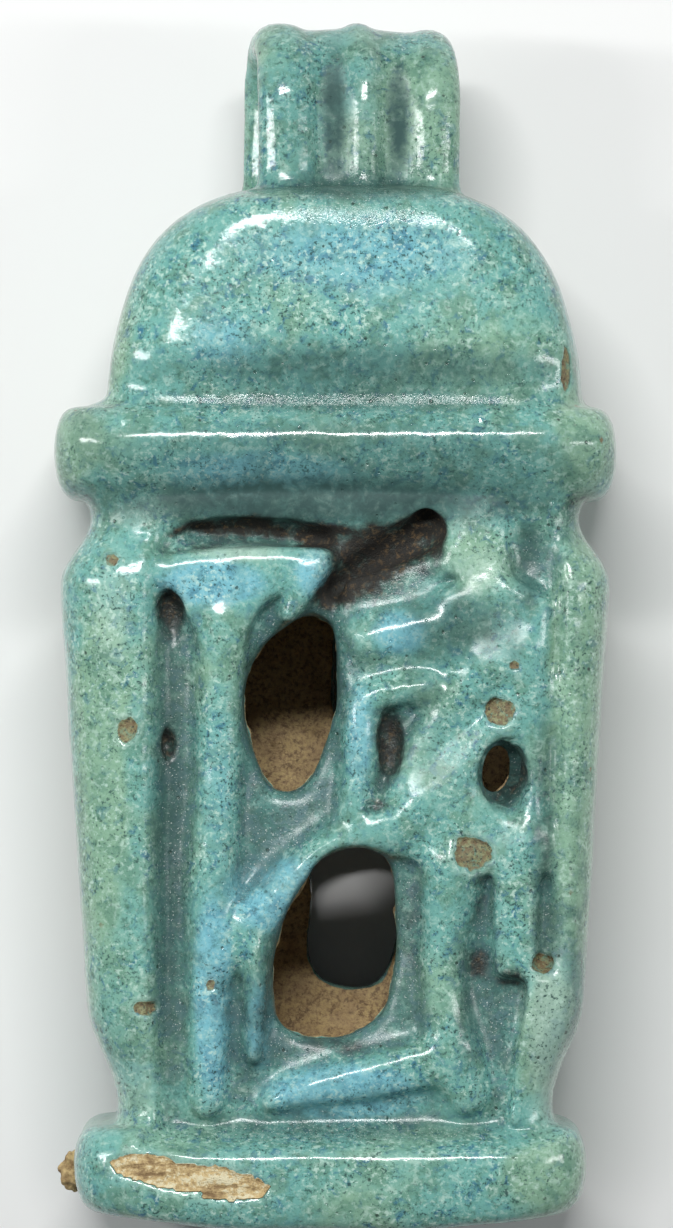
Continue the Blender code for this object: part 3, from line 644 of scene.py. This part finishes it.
def arch(sizes, levels, middle, half_width, wall, crown, steps=32):
    """One arch of the loop, which springs from the roof at front and back."""
    reach = sizes.loop_depth / 2 - sizes.loop_wall / 2
    foot = levels.roof_top - sizes.loop_root
    curve = bpy.data.curves.new("loop_arch", "CURVE")
    curve.dimensions = "3D"
    curve.bevel_depth = wall / 2
    curve.bevel_resolution = 8
    curve.use_fill_caps = True
    spline = curve.splines.new("POLY")
    line = [(foot, -reach)]
    for step in range(steps + 1):
        angle = math.pi * step / steps
        line.append((crown - wall / 2 - reach + reach * math.sin(angle), -reach * math.cos(angle)))
    line.append((foot, reach))
    spline.points.add(len(line) - 1)
    for knot, (height, out) in zip(spline.points, line):
        knot.co = (0.0, height, out, 1.0)
    drawn = meshed(linked("loop_arch", curve))
    turn = Matrix.Rotation(sizes.loop_turn, 4, "Y")
    place = Matrix.Translation((sizes.loop_shift, 0, levels.middle)) @ turn
    widen = Matrix.Diagonal((half_width / (wall / 2), 1, 1, 1))
    drawn.data.transform(place @ Matrix.Translation((middle, 0, 0)) @ widen)
    return drawn


def suspension_loop(sizes, levels):
    """Ribs side by side, and the thinner web between them."""
    top = levels.roof_top + sizes.loop_height
    width = sizes.loop_width
    made = [arch(sizes, levels, middle * width, half_width * width, sizes.loop_wall,
                 top - drop * sizes.loop_height) for middle, half_width, drop in RIBS]
    middle, half_width = WEB
    made.append(arch(sizes, levels, middle * width, half_width * width, sizes.web_wall,
                     top - sizes.web_sink))
    return made


def pressed_clay(sizes, levels):
    """The whole amulet as one even-grained body, before it is weathered."""
    drawing = PanelDrawing(sizes, levels)
    inside, fields, raised = [hollow(sizes, levels)], [], []
    for face, openings in ((drawing.front, FRONT_OPENINGS), (drawing.back, BACK_OPENINGS)):
        inside += drawing.laid(drawing.piercings(openings), face)
        fields += drawing.laid(drawing.field_cutters(), face)
        raised += drawing.laid(drawing.relief(), face)
    raised = drawing.held_in(raised)
    pieces = [cut(naos_block(sizes, levels), fields + inside)]
    pieces += [cut(piece, inside) for piece in raised]
    pieces += suspension_loop(sizes, levels)
    whole = bmesh.new()
    for piece in pieces:
        whole.from_mesh(piece.data)
    for piece in pieces + inside + fields:
        bpy.data.objects.remove(piece, do_unlink=True)
    clay = object_of("faience_amulet", whole)
    modified(clay, "REMESH", mode="VOXEL", voxel_size=sizes.grain)
    modified(clay, "SMOOTH", factor=0.5, iterations=RUB_ROUNDS)
    return meshed(clay)


def smooth_step(low, high, value):
    share = np.clip((value - low) / (high - low), 0.0, 1.0)
    return share * share * (3 - 2 * share)


def rough(points, size, octaves=3, seed=0.0):
    """Fractal noise of about -1 to 1 at each point, its largest lumps of the given size."""
    offset = Vector((seed, seed * 1.7, -seed))
    frequency = 1 / size
    return np.array([
        noise.fractal(Vector(p) * frequency + offset, 1.0, 2.0, octaves) for p in points.tolist()])


def distance_from(points, spot):
    """Distance from the middle of an oval spot (x, y, reach across, reach up, ...), 1 on its edge."""
    x, y, across, up = (value * MM for value in spot[:4])
    return np.hypot((points[:, 0] - x) / across, (points[:, 1] - y) / up)


def spotted(points, spots):
    """The largest share of any soft spot (x, y, reach across, reach up, share) at each point."""
    made = np.zeros(len(points))
    for spot in spots:
        made = np.maximum(made, spot[4] * (1 - smooth_step(0.3, 1.1, distance_from(points, spot))))
    return made


# Rounds of smoothing: of the raw body, of the panels and where glaze pools
RUB_ROUNDS, PANEL_ROUNDS, POOL_ROUNDS = 20, 52, 260
# Rounds of smoothing that show up grooves, hollows and crests, and the depths at which these start to count
# and count in full
GROOVE_ROUNDS, HOLLOW_ROUNDS, CREST_ROUNDS = 40, 260, 24
GROOVE_DEPTHS, HOLLOW_DEPTHS, CREST_DEPTHS = (
    (0.006 * MM, 0.08 * MM), (0.02 * MM, 0.3 * MM), (0.006 * MM, 0.05 * MM))
# The share of detail above which the face keeps all its triangles
DETAIL_SHARE = 0.3
# Rounds of blurring: of the pools' edges, of the field's edge, of the grooves, and of the stains and
# painted shadow
POOL_BLUR, FIELD_BLUR, MARK_BLUR = 20, 40, 6
# The pools' middle lines, from the edges of the cornice, and how far from them the pools thin and end
POOL_OFFSET, POOL_THIN, POOL_END = 0.3 * MM, 0.1 * MM, 1.2 * MM


class WornBody:
    """The dense body's vertices as arrays, to be moved and given masks for the glaze."""

    def __init__(self, sizes):
        self.sizes, self.levels = sizes, Levels(sizes)
        self.clay = pressed_clay(sizes, self.levels)
        self.points = self.read(self.clay.data, "co")
        self.settle()
        self.inner = self.inner_share()

    @staticmethod
    def read(mesh, what):
        values = np.empty(len(mesh.vertices) * 3)
        mesh.vertices.foreach_get(what, values)
        return values.reshape(-1, 3)

    def update(self):
        """Writes the moved points to the mesh."""
        self.clay.data.vertices.foreach_set("co", self.points.ravel())
        self.clay.data.update()
        self.normals = self.read(self.clay.data, "normal")

    def settle(self):
        """Puts the body where the solid lies."""
        low, high = self.points.min(axis=0), self.points.max(axis=0)
        middle = (np.array(NODE_LOW) + np.array(NODE_HIGH)) / 2
        self.points[:, :2] += (middle - (low + high) / 2)[:2]
        self.points[:, 2] += NODE_HIGH[2] - high[2]
        self.update()

    def push(self, amount):
        """Moves each vertex out along its normal."""
        self.points += self.normals * amount[:, None]
        self.update()

    def smoothed(self, rounds):
        """Where the points would lie after smoothing."""
        smooth = modified(self.clay, "SMOOTH", factor=0.5, iterations=rounds)
        mesh = evaluated_mesh(self.clay)
        self.clay.modifiers.remove(smooth)
        points = self.read(mesh, "co")
        bpy.data.meshes.remove(mesh)
        return points

    def soften(self, share, rounds):
        """Moves each vertex its share of the way to where smoothing would put it."""
        self.points += share[:, None] * (self.smoothed(rounds) - self.points)
        self.update()

    def hollowness(self, rounds):
        """How far each point lies below the smoothed surface around it: positive in a groove."""
        return ((self.smoothed(rounds) - self.points) * self.normals).sum(axis=1)

    def blurred(self, values, rounds):
        """The values spread out over neighbouring vertices."""
        mesh = self.clay.data
        edges = np.empty(len(mesh.edges) * 2, dtype=np.int64)
        mesh.edges.foreach_get("vertices", edges)
        here, there = np.concatenate([edges.reshape(-1, 2), edges.reshape(-1, 2)[:, ::-1]]).T
        count = np.maximum(np.bincount(here, minlength=len(values)), 1)
        for _ in range(rounds):
            values = (values + np.bincount(here, values[there], len(count)) / count) / 2
        return values

    def inner_share(self):
        """1 inside the hollow, falling to 0 half way out through the openings."""
        sizes, levels = self.sizes, self.levels
        x, y, z = self.points.T
        out = np.abs(z - levels.middle) - levels.hollow_half_depth
        through = 1 - smooth_step(0.05 * sizes.panel_wall, 0.30 * sizes.panel_wall, out)
        rise = (y - levels.shaft_foot) / sizes.shaft_height
        width = tapered(sizes.shaft_foot_width, sizes.shaft_head_width, rise)
        aside = 1 - smooth_step(0.2 * MM, 0.5 * MM, np.abs(x) - (width / 2 - sizes.side_wall))
        floor = smooth_step(-0.5 * MM, -0.2 * MM, y - levels.shaft_foot - sizes.floor_wall)
        ceiling = 1 - smooth_step(0.2 * MM, 0.5 * MM, y - levels.cornice_foot + sizes.ceiling_wall)
        return through * aside * floor * ceiling

    def panel_share(self):
        """1 over the sunk panels of front and back, 0 on the pilasters' outer faces."""
        sizes, levels = self.sizes, self.levels
        x, y, z = self.points.T
        rise = (y - levels.shaft_foot) / sizes.shaft_height
        aside = np.abs(x - sizes.recess_shift) - sizes.recess_width / 2 - sizes.wall_slope
        out = np.abs(z - levels.middle) - levels.hollow_half_depth
        return ((1 - smooth_step(0.0, 0.8 * MM, aside)) * smooth_step(-0.03, 0.03, rise)
                * (1 - smooth_step(0.97, 1.03, rise)) * smooth_step(0.0, 0.5 * sizes.panel_wall, out))

    def field_share(self):
        """0 on the level of the pilasters, 1 on the sunk field."""
        half_depth = shaft_half_sizes(self.sizes, self.points[:, 1] - self.levels.shaft_foot)[1]
        below = (half_depth - np.abs(self.points[:, 2] - self.levels.middle)) / self.sizes.recess_depth
        return smooth_step(0.25, 0.95, below) * self.panel_share()

    def distance_from_line(self, line):
        """Distance from a line through panel points (across, up, half width), in half widths."""
        scale = self.sizes.shaft_height
        place = np.column_stack([self.points[:, 0] / scale,
                                 (self.points[:, 1] - self.levels.shaft_foot) / scale])
        nearest = np.full(len(place), np.inf)
        for start, end in zip(line, line[1:]):
            low, run = np.array(start[:2]), np.array(end[:2]) - np.array(start[:2])
            share = np.clip((place - low) @ run / (run @ run), 0.0, 1.0)
            away = place - low - share[:, None] * run
            width = tapered(start[2], end[2], share)
            nearest = np.minimum(nearest, np.hypot(away[:, 0], away[:, 1]) / width)
        return nearest

    def handle(self):
        """Soft hand-made forms, glaze pooled in the creases above and below the cornice, a rough inside."""
        points, levels, inner = self.points, self.levels, self.inner
        soft = self.panel_share()
        self.soften(soft, PANEL_ROUNDS)
        near = [1 - smooth_step(POOL_THIN, POOL_END, np.abs(points[:, 1] - crease))
                for crease in (levels.cornice_foot - POOL_OFFSET, levels.roof_foot + POOL_OFFSET)]
        front = smooth_step(0.15, 0.85, self.normals[:, 2]) * (inner < 0.5)
        self.soften(self.blurred(np.max(near, axis=0) * front, POOL_BLUR), POOL_ROUNDS)
        uneven = rough(points, 3.5 * MM, octaves=2, seed=3.0) * 0.06 * MM
        ripple = rough(points, 0.8 * MM, octaves=3, seed=8.0) * (0.014 + 0.008 * soft) * MM
        crumb = (rough(points, 0.55 * MM, octaves=4, seed=5.0) * 0.12 + 0.02) * MM
        self.push(uneven + ripple * (1 - inner) + crumb * inner)

    def blemish(self):
        """Pits, bubbles and the chip. Gives the share of each kind at each point."""
        points = self.points
        on_face = points[:, 2] > self.levels.middle
        front = on_face & (self.inner < 0.5) & (self.normals[:, 2] > 0.1)
        ragged = rough(points, 0.25 * MM, octaves=3, seed=11.0)
        depth, rust, pit = (np.zeros(len(points)) for _ in range(3))
        for spall in SPALLS:
            distance = distance_from(points, spall) + ragged * 0.2
            floor = 1 - smooth_step(0.75, 1.0, distance)
            rim = smooth_step(0.8, 1.0, distance) * (1 - smooth_step(1.0, 1.35, distance))
            depth += front * (0.03 * rim - spall[4] * floor) * MM
            rust = np.maximum(rust, front * floor)
        for bubble in BUBBLES:
            bowl = front * (1 - smooth_step(0.3, 1.0, distance_from(points, bubble) + ragged * 0.12))
            depth -= bubble[4] * MM * bowl
            pit = np.maximum(pit, bowl)
        strands = rough(points * np.array([1.0, 4.0, 1.0]), 1.2 * MM, octaves=4, seed=21.0)
        distance = np.min([distance_from(points, oval) for oval in CHIP], axis=0)
        chip = 1 - smooth_step(0.90, 1.0, distance + ragged * 0.12 + strands * 0.30)
        chip *= on_face
        depth -= chip * (0.13 + 0.07 * strands) * MM
        self.push(depth)
        return {"rust": rust, "pit": pit, "chip": chip}

    def mark(self, blemishes):
        """Stores where the glaze is blue or green, where it is pale and takes painted light, where it is
        stained and takes painted shadow, and where it takes painted shade.
        """
        points = self.points
        face = (points[:, 2] > self.levels.middle) & (self.inner < 0.5)
        made = {name: spotted(points, spots) for name, spots in SPOTS.items()}
        field = self.blurred(self.field_share(), FIELD_BLUR)
        # How deep each point lies in a groove, a hollow or the sunk field: the glaze paints shade there, is
        # rougher and carries painted glints
        groove = 0.50 * smooth_step(*GROOVE_DEPTHS, self.hollowness(GROOVE_ROUNDS))
        broad = smooth_step(*HOLLOW_DEPTHS, self.hollowness(HOLLOW_ROUNDS))
        groove += 0.60 * broad * (0.3 + 0.7 * field)
        crest = 0.5 * smooth_step(*CREST_DEPTHS, -self.hollowness(CREST_ROUNDS))
        ragged = rough(points, 0.9 * MM) * 0.60
        for line in STAIN_AND_SHADOW_LINES:
            stained_and_shadowed = 1 - smooth_step(0.2, 1.9, self.distance_from_line(line) + ragged)
            made["stain_and_shadow"] = np.maximum(made["stain_and_shadow"], stained_and_shadowed)
        # Stains and their painted shadow show only in the grooves and on the sunk field; pits are stained
        # too
        low = smooth_step(0.0, 0.5, groove + field)
        stain_and_shadow = np.maximum(made["stain_and_shadow"] * face * low, blemishes["pit"] * 0.6)
        made["matt"] = np.maximum(made["matt"], 0.06 * self.panel_share())
        for name in ("painted_shade", "sparkle", "matt", "blue"):
            made[name] = made[name] * face
        made.update(blemishes, inner=self.inner, crest=np.maximum(crest, made["pale_and_painted_light"]),
                    groove=self.blurred(np.maximum(groove, field * 0.75), MARK_BLUR),
                    stain_and_shadow=self.blurred(stain_and_shadow, MARK_BLUR))
        for name in MASKS:
            slot = self.clay.data.attributes.new(name, "FLOAT", "POINT")
            slot.data.foreach_set("value", np.clip(made[name], 0.0, 1.0).astype(np.float32))

    def lie_flat(self):
        """Presses what would reach below the floor flat."""
        self.points[:, 2] = np.maximum(self.points[:, 2], 0.0)
        self.update()

    def reduced(self, blemishes):
        """The body in as many triangles as it may have, most of them on its face."""
        clay = self.clay
        keep = self.panel_share() * (self.points[:, 2] > self.levels.middle) * (1 - self.inner)
        keep = np.maximum.reduce([keep, *blemishes.values()])
        group = clay.vertex_groups.new(name="plain")
        group.add(np.flatnonzero(keep < DETAIL_SHARE).tolist(), 1.0, "REPLACE")
        clay.data.calc_loop_triangles()
        ratio = min(1.0, self.sizes.triangles / len(clay.data.loop_triangles))
        modified(clay, "DECIMATE", ratio=ratio, vertex_group=group.name)
        mesh = evaluated_mesh(clay)
        clay.modifiers.clear()
        clay.vertex_groups.clear()
        clay.data = mesh
        return clay


class NAOS_OT_body(Operator):
    """Model the pressed, pierced and weathered body of the amulet"""

    bl_idname = "naos.body"
    bl_label = "Faience body"

    def execute(self, context):
        worn = WornBody(context.scene.naos_sizes)
        worn.handle()
        blemishes = worn.blemish()
        worn.mark(blemishes)
        worn.lie_flat()
        clay = worn.reduced(blemishes)
        clay.data.materials.append(faience_glaze(context.scene.naos_colours))
        clay.data.shade_smooth()
        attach(clay, BODY)
        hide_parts(NODE)
        return {"FINISHED"}


class NAOS_OT_scar(Operator):
    """Model the lump of clay that a kiln support left on the plinth"""

    bl_idname = "naos.scar"
    bl_label = "Kiln scar"

    # How rough it is, the size of its lumps, how far its outer half is flattened and how far it is sunk in
    ROUGHNESS, LUMP_SIZE, FLATTENED, SUNK = 0.28, 0.35 * MM, 0.95, 0.1 * MM

    def execute(self, context):
        sizes = context.scene.naos_sizes
        levels = Levels(sizes)
        bm = bmesh.new()
        bmesh.ops.create_icosphere(bm, subdivisions=5, radius=sizes.scar_size / 2)
        for vert in bm.verts:
            vert.co *= 1 + self.ROUGHNESS * noise.fractal(vert.co / self.LUMP_SIZE, 1.0, 2.0, 4)
            vert.co.x *= 1.0 if vert.co.x > 0 else self.FLATTENED
        place = Vector((sizes.plinth_shift - sizes.plinth_width / 2 + self.SUNK,
                        (levels.foot + levels.shaft_foot) / 2, levels.middle))
        bmesh.ops.translate(bm, vec=place, verts=bm.verts)
        scar = object_of("kiln_scar", bm)
        scar.data.materials.append(bare_clay(context.scene.naos_colours))
        scar.data.shade_smooth()
        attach(scar, BODY)
        return {"FINISHED"}


def arithmetic(operation, swapped=False):
    """The method behind a sign of arithmetic. It adds a Math node."""
    def method(number, other):
        terms = (other, number) if swapped else (number, other)
        return number.nodes.add("ShaderNodeMath", {"operation": operation}, dict(enumerate(terms)))
    return method


class Number:
    """A number socket. Arithmetic on it adds Math nodes."""

    def __init__(self, nodes, socket):
        self.nodes, self.socket = nodes, socket

    __add__, __radd__ = arithmetic("ADD"), arithmetic("ADD", swapped=True)
    __sub__, __rsub__ = arithmetic("SUBTRACT"), arithmetic("SUBTRACT", swapped=True)
    __mul__, __rmul__ = arithmetic("MULTIPLY"), arithmetic("MULTIPLY", swapped=True)


class Nodes:
    """A material's node tree."""

    MIX_FACTOR, MIX_A, MIX_B, MIX_RESULT = 0, 6, 7, 2

    def __init__(self, name):
        self.material = bpy.data.materials.new(name)
        self.material.use_nodes = True
        self.tree = self.material.node_tree
        self.shader = self.tree.nodes["Principled BSDF"]
        place = self.add("ShaderNodeTexCoord", {}, {}, "Object")
        self.place = self.add("ShaderNodeMapping", {}, {"Vector": place, "Scale": (1000.0, 1000.0, 1000.0)})

    def add(self, kind, settings, inputs, output=0):
        node = self.tree.nodes.new(kind)
        for name, value in settings.items():
            setattr(node, name, value)
        for key, value in inputs.items():
            self.feed(node.inputs[key], value)
        return Number(self, node.outputs[output])

    def feed(self, socket, value):
        if isinstance(value, Number):
            self.tree.links.new(value.socket, socket)
        elif socket.type == "RGBA" and len(value) == 3:
            socket.default_value = (*value, 1.0)
        else:
            socket.default_value = value

    def mask(self, name):
        return self.add("ShaderNodeAttribute", {"attribute_name": name}, {}, "Fac")

    def noise(self, per_mm, detail, roughness=0.55, distortion=0.0):
        return self.add("ShaderNodeTexNoise", {}, {
            "Vector": self.place, "Scale": per_mm, "Detail": detail, "Roughness": roughness,
            "Distortion": distortion})

    def streaks(self, per_mm):
        """Noise drawn out along the width, as fibres are."""
        drawn_out = self.add("ShaderNodeMapping", {}, {"Vector": self.place, "Scale": (0.22, 1.0, 1.0)})
        return self.add("ShaderNodeTexNoise", {}, {
            "Vector": drawn_out, "Scale": per_mm, "Detail": 5.0, "Roughness": 0.65, "Distortion": 0.3})

    def cells(self, per_mm):
        """Distance to the nearest of scattered points."""
        return self.add("ShaderNodeTexVoronoi", {}, {"Vector": self.place, "Scale": per_mm})

    def between(self, value, low, high):
        """0 below low, 1 above high and smooth between them."""
        return self.add("ShaderNodeMapRange", {"interpolation_type": "SMOOTHSTEP"}, {
            "Value": value, "From Min": low, "From Max": high})

    def under(self, value, low, high):
        """1 below low, 0 above high and smooth between them."""
        return 1 - self.between(value, low, high)

    def mix(self, factor, first, second):
        return self.add("ShaderNodeMix", {"data_type": "RGBA"}, {
            self.MIX_FACTOR: factor, self.MIX_A: first, self.MIX_B: second}, self.MIX_RESULT)

    def coated(self, tone, coats):
        """The tone with coats laid over it in order, each of them its share and its colour."""
        for share, colour in coats:
            tone = self.mix(share, tone, colour)
        return tone

    def bump(self, height):
        return self.add("ShaderNodeBump", {}, {"Height": height, "Distance": MM, "Strength": 1.0})

    def finish(self, **inputs):
        for name, value in inputs.items():
            self.feed(self.shader.inputs[name.replace("_", " ").title()], value)
        return self.material


def faience_glaze(colours):
    """Mottled turquoise glaze, rougher and painted darker as shade in the grooves, with painted glints,
    worn off at chips, over a rough brown body.
    """
    nodes = Nodes("turquoise_faience_glaze")
    groove, painted_shade, sparkle, matt, crest, inner, chip, rust, stain_and_shadow, blue, green = map(nodes.mask, MASKS)
    cloud = nodes.noise(0.33, 4.0)
    mottle = nodes.noise(1.3, 4.0, 0.6)
    blotch = nodes.noise(3.0, 4.0, 0.62, 0.6)
    speckle = nodes.noise(6.5, 3.0, 0.65)
    grain = nodes.noise(12.0, 2.0, 0.7)
    fine = nodes.noise(21.0, 1.0, 0.5)
    patchy = nodes.between(nodes.noise(0.8, 4.0, 0.6), 0.36, 0.62)

    greenness = nodes.between(cloud + green * 0.40 - blue * 0.25, 0.44, 0.72)
    blueness = nodes.between(mottle * 0.5 + cloud * -0.3 + blue * 0.5, 0.16, 0.50)
    spots = nodes.between(blotch + blue * 0.06, 0.52, 0.68)
    spots = spots * (patchy * 0.70 + 0.30) * (1 - green * 0.5) * (0.90 - blue * 0.35)
    green_spots = nodes.between(nodes.noise(3.6, 4.0, 0.65, 0.4), 0.54, 0.70)
    hollow = nodes.between(groove + (mottle + blotch - 1.0) * 0.85, 0.12, 0.95) * (1 - green * 0.6)
    shadow = nodes.mix(nodes.between(blotch * 0.6 + mottle * 0.4, 0.46, 0.58), colours.deep_glaze_and_shade, colours.slate_shade)
    dark_grain = nodes.under(speckle * 0.5 + grain * 0.5, 0.38, 0.47)
    # Painted glints: white specks in the hollows and in the gritty spots
    painted_glints = nodes.between(fine, 0.66, 0.73) * nodes.between(hollow + sparkle + blotch - 0.5, 0.30, 0.90)
    flecks = nodes.under(nodes.cells(1.9) + fine * 0.10, 0.10, 0.18) * nodes.between(mottle, 0.44, 0.58)
    rusty_flecks = nodes.under(nodes.cells(0.9) + grain * 0.12, 0.11, 0.16) * green
    stained_and_shadowed = nodes.between(stain_and_shadow + (mottle + blotch - 1.0) * 0.8, 0.15, 0.95)
    rusty = nodes.between(speckle, 0.50, 0.68) * (patchy * 0.35 + 0.12)
    glaze = nodes.coated(colours.turquoise, (
        (greenness, colours.green),
        (blueness * 0.85, colours.blue),
        (nodes.between(mottle, 0.46, 0.62) * (0.70 - blue * 0.5), colours.olive),
        (spots, colours.deep_blue),
        (green_spots * (0.65 - blue * 0.4), colours.deep_green),
        (nodes.under(blotch, 0.30, 0.45) * 0.40, colours.pale_and_painted_light),
        # Paler on the crests and on the pale spots, which are partly painted light
        (crest * 0.50, colours.pale_and_painted_light),
        (nodes.between(speckle, 0.54, 0.66) * (patchy * 0.50 + 0.25), colours.pale_and_painted_light),
        # Painted shade in the grooves, hollows and sunk field
        (hollow * 0.90, shadow),
        # Painted shade: the listed spots darkened towards the deep colour
        (painted_shade * (mottle * 0.6 + blotch * 0.6 + 0.35), colours.deep_glaze_and_shade),
        (dark_grain * (patchy * 0.60 + 0.32), colours.deep_glaze_and_shade),
        (painted_glints * 0.55, colours.painted_glint),
        (flecks * 0.85, colours.dark),
        (rusty_flecks * 0.8, colours.rust),
        # Brown stains, near-black where they paint shadow in the grooves under the cornice and over the
        # muzzle
        (stained_and_shadowed * 0.97, nodes.mix(rusty, colours.stain_and_shadow, colours.rust)),
    ))

    raw = nodes.mix(nodes.between(speckle * 0.6 + grain * 0.4, 0.38, 0.60), colours.soot, colours.clay)
    inside = nodes.coated(colours.soot, (
        (nodes.between(mottle, 0.35, 0.60) * 0.5 + 0.5, raw),
        (nodes.under(speckle, 0.36, 0.46) * 0.3, colours.stain_and_shadow),
    ))
    strands = nodes.streaks(2.2)
    fibres = nodes.coated(colours.rust, (
        (nodes.between(strands + speckle * 0.4, 0.52, 0.74), colours.clay),
        (nodes.between(strands + speckle * 0.8, 0.88, 1.04), colours.cream),
        (nodes.under(grain, 0.34, 0.44) * 0.5, colours.rust),
    ))
    pitted = nodes.coated(colours.rust, (
        (nodes.between(speckle, 0.46, 0.60), colours.ochre),
        (nodes.under(blotch, 0.36, 0.50) * 0.7, colours.olive),
        (nodes.under(grain, 0.34, 0.44) * 0.8, colours.stain_and_shadow),
    ))
    chipped = nodes.between(chip, 0.3, 0.6)
    tone = nodes.coated(glaze, (
        (nodes.between(inner + mottle * 0.3, 0.45, 0.75), inside),
        (chipped, fibres),
        (nodes.between(rust + (speckle - 0.5) * 0.5, 0.35, 0.75) * 0.85, pitted),
    ))

    bare = nodes.between(inner + chip + rust + stained_and_shadowed * 0.5, 0.3, 0.6)
    roughness = 0.09 + hollow * 0.14 + sparkle * 0.12 + matt * 0.70 + speckle * 0.12 + bare * 0.60
    lumps = nodes.noise(1.1, 2.0) * 0.026
    pinholes = nodes.under(nodes.cells(2.4), 0.05, 0.11) * 0.02
    gritty = (hollow * 0.6 + sparkle * 2.2 + bare * 3) * (grain + fine) * 0.007
    grit = speckle * 0.005 + grain * 0.0015 + gritty
    normal = nodes.bump(lumps + grit + chipped * strands * 0.12 - pinholes - flecks * 0.02)
    return nodes.finish(base_color=tone, roughness=roughness, normal=normal)


def bare_clay(colours):
    """Rough tan body of the kiln scar."""
    nodes = Nodes("bare_faience_body")
    lumps = nodes.noise(3.0, 4.0, 0.6)
    grain = nodes.noise(11.0, 3.0, 0.6)
    tone = nodes.coated(colours.rust, (
        (nodes.between(lumps, 0.35, 0.65), colours.clay),
        (nodes.between(grain, 0.55, 0.70) * 0.5, colours.soot),
    ))
    return nodes.finish(base_color=tone, roughness=0.75 + grain * 0.2,
                        normal=nodes.bump(lumps * 0.08 + grain * 0.05))


def floor_finish(colours):
    """Pale floor with a faint haze."""
    nodes = Nodes("pale_floor")
    haze = nodes.noise(0.05, 3.0)
    tone = nodes.mix(haze * 0.08, colours.floor, (0.7, 0.7, 0.7))
    return nodes.finish(base_color=tone, roughness=0.7 + haze * 0.1)


class NAOS_OT_stage(Operator):
    """Set the pale floor, the soft lights and the camera"""

    bl_idname = "naos.stage"
    bl_label = "Stage"

    # Name, place and width and height of each soft light in metres, and its power in watts
    LIGHTS = (
        ("top_strip", (-0.008, 0.062, 0.142), 0.080, 0.010, 0.190),
        ("left_strip", (-0.100, 0.020, 0.085), 0.008, 0.070, 0.060),
        ("right_strip", (0.105, 0.010, 0.085), 0.008, 0.070, 0.036),
    )
    LIGHTS_AIM = Vector((0, 0, 0.005))
    FLOOR_SIZE, FLOOR_DROP = 1.5, 0.02 * MM
    WORLD_COLOUR, WORLD_STRENGTH = (0.9, 0.95, 1.0, 1.0), 0.15

    def execute(self, context):
        scene, studio = context.scene, context.scene.naos_studio
        bm = bmesh.new()
        bmesh.ops.create_grid(bm, x_segments=8, y_segments=8, size=self.FLOOR_SIZE)
        bmesh.ops.translate(bm, vec=(0, 0, -self.FLOOR_DROP), verts=bm.verts)
        floor = object_of("floor", bm)
        floor.data.materials.append(floor_finish(scene.naos_colours))
        for name, place, width, height, power in self.LIGHTS:
            self.area_light(name, Vector(place), width, height, power * studio.brightness)
        world = bpy.data.worlds.new("studio")
        world.use_nodes = True
        background = world.node_tree.nodes["Background"]
        background.inputs["Color"].default_value = self.WORLD_COLOUR
        background.inputs["Strength"].default_value = self.WORLD_STRENGTH
        scene.world = world
        scene.view_settings.view_transform = "Standard"
        self.camera(scene, studio)
        return {"FINISHED"}

    def area_light(self, name, place, width, height, power):
        data = bpy.data.lights.new(name, "AREA")
        data.shape = "RECTANGLE"
        data.size, data.size_y = width, height
        data.energy = power
        light = linked(name, data)
        light.location = place
        light.rotation_euler = (self.LIGHTS_AIM - place).to_track_quat("-Z", "Y").to_euler()

    @staticmethod
    def camera(scene, studio):
        data = bpy.data.cameras.new("camera")
        data.lens = studio.lens
        data.sensor_width = 36.0
        data.clip_start, data.clip_end = 0.01, 10.0
        camera = linked("camera", data)
        middle = (CAD_BOX[0][2] + CAD_BOX[1][2]) / 2
        away = studio.frame_height * studio.lens / data.sensor_width
        camera.location = (studio.aim_x, studio.aim_y, middle + away)
        scene.camera = camera


class NAOS_PT_panel(Panel):
    bl_idname = "NAOS_PT_panel"
    bl_label = "Naos amulet"
    bl_space_type = "VIEW_3D"
    bl_region_type = "UI"
    bl_category = "Naos"

    def draw(self, context):
        for step in STEPS:
            self.layout.operator(step.bl_idname)
        for group in (context.scene.naos_sizes, context.scene.naos_colours, context.scene.naos_studio):
            box = self.layout.box()
            for name in group.bl_rna.properties.keys():
                if name not in {"rna_type", "name"}:
                    box.prop(group, name)


STEPS = (NAOS_OT_body, NAOS_OT_scar, NAOS_OT_stage)
GROUPS = (("naos_sizes", NaosSizes), ("naos_colours", NaosColours), ("naos_studio", NaosStudio))


def register():
    for name, group in GROUPS:
        bpy.utils.register_class(group)
        setattr(bpy.types.Scene, name, PointerProperty(type=group))
    for part in (*STEPS, NAOS_PT_panel):
        bpy.utils.register_class(part)


def unregister():
    for part in reversed((*STEPS, NAOS_PT_panel)):
        bpy.utils.unregister_class(part)
    for name, group in reversed(GROUPS):
        delattr(bpy.types.Scene, name)
        bpy.utils.unregister_class(group)


def main():
    register()
    bpy.ops.naos.body()
    bpy.ops.naos.scar()
    bpy.ops.naos.stage()


if __name__ == "__main__":
    main()
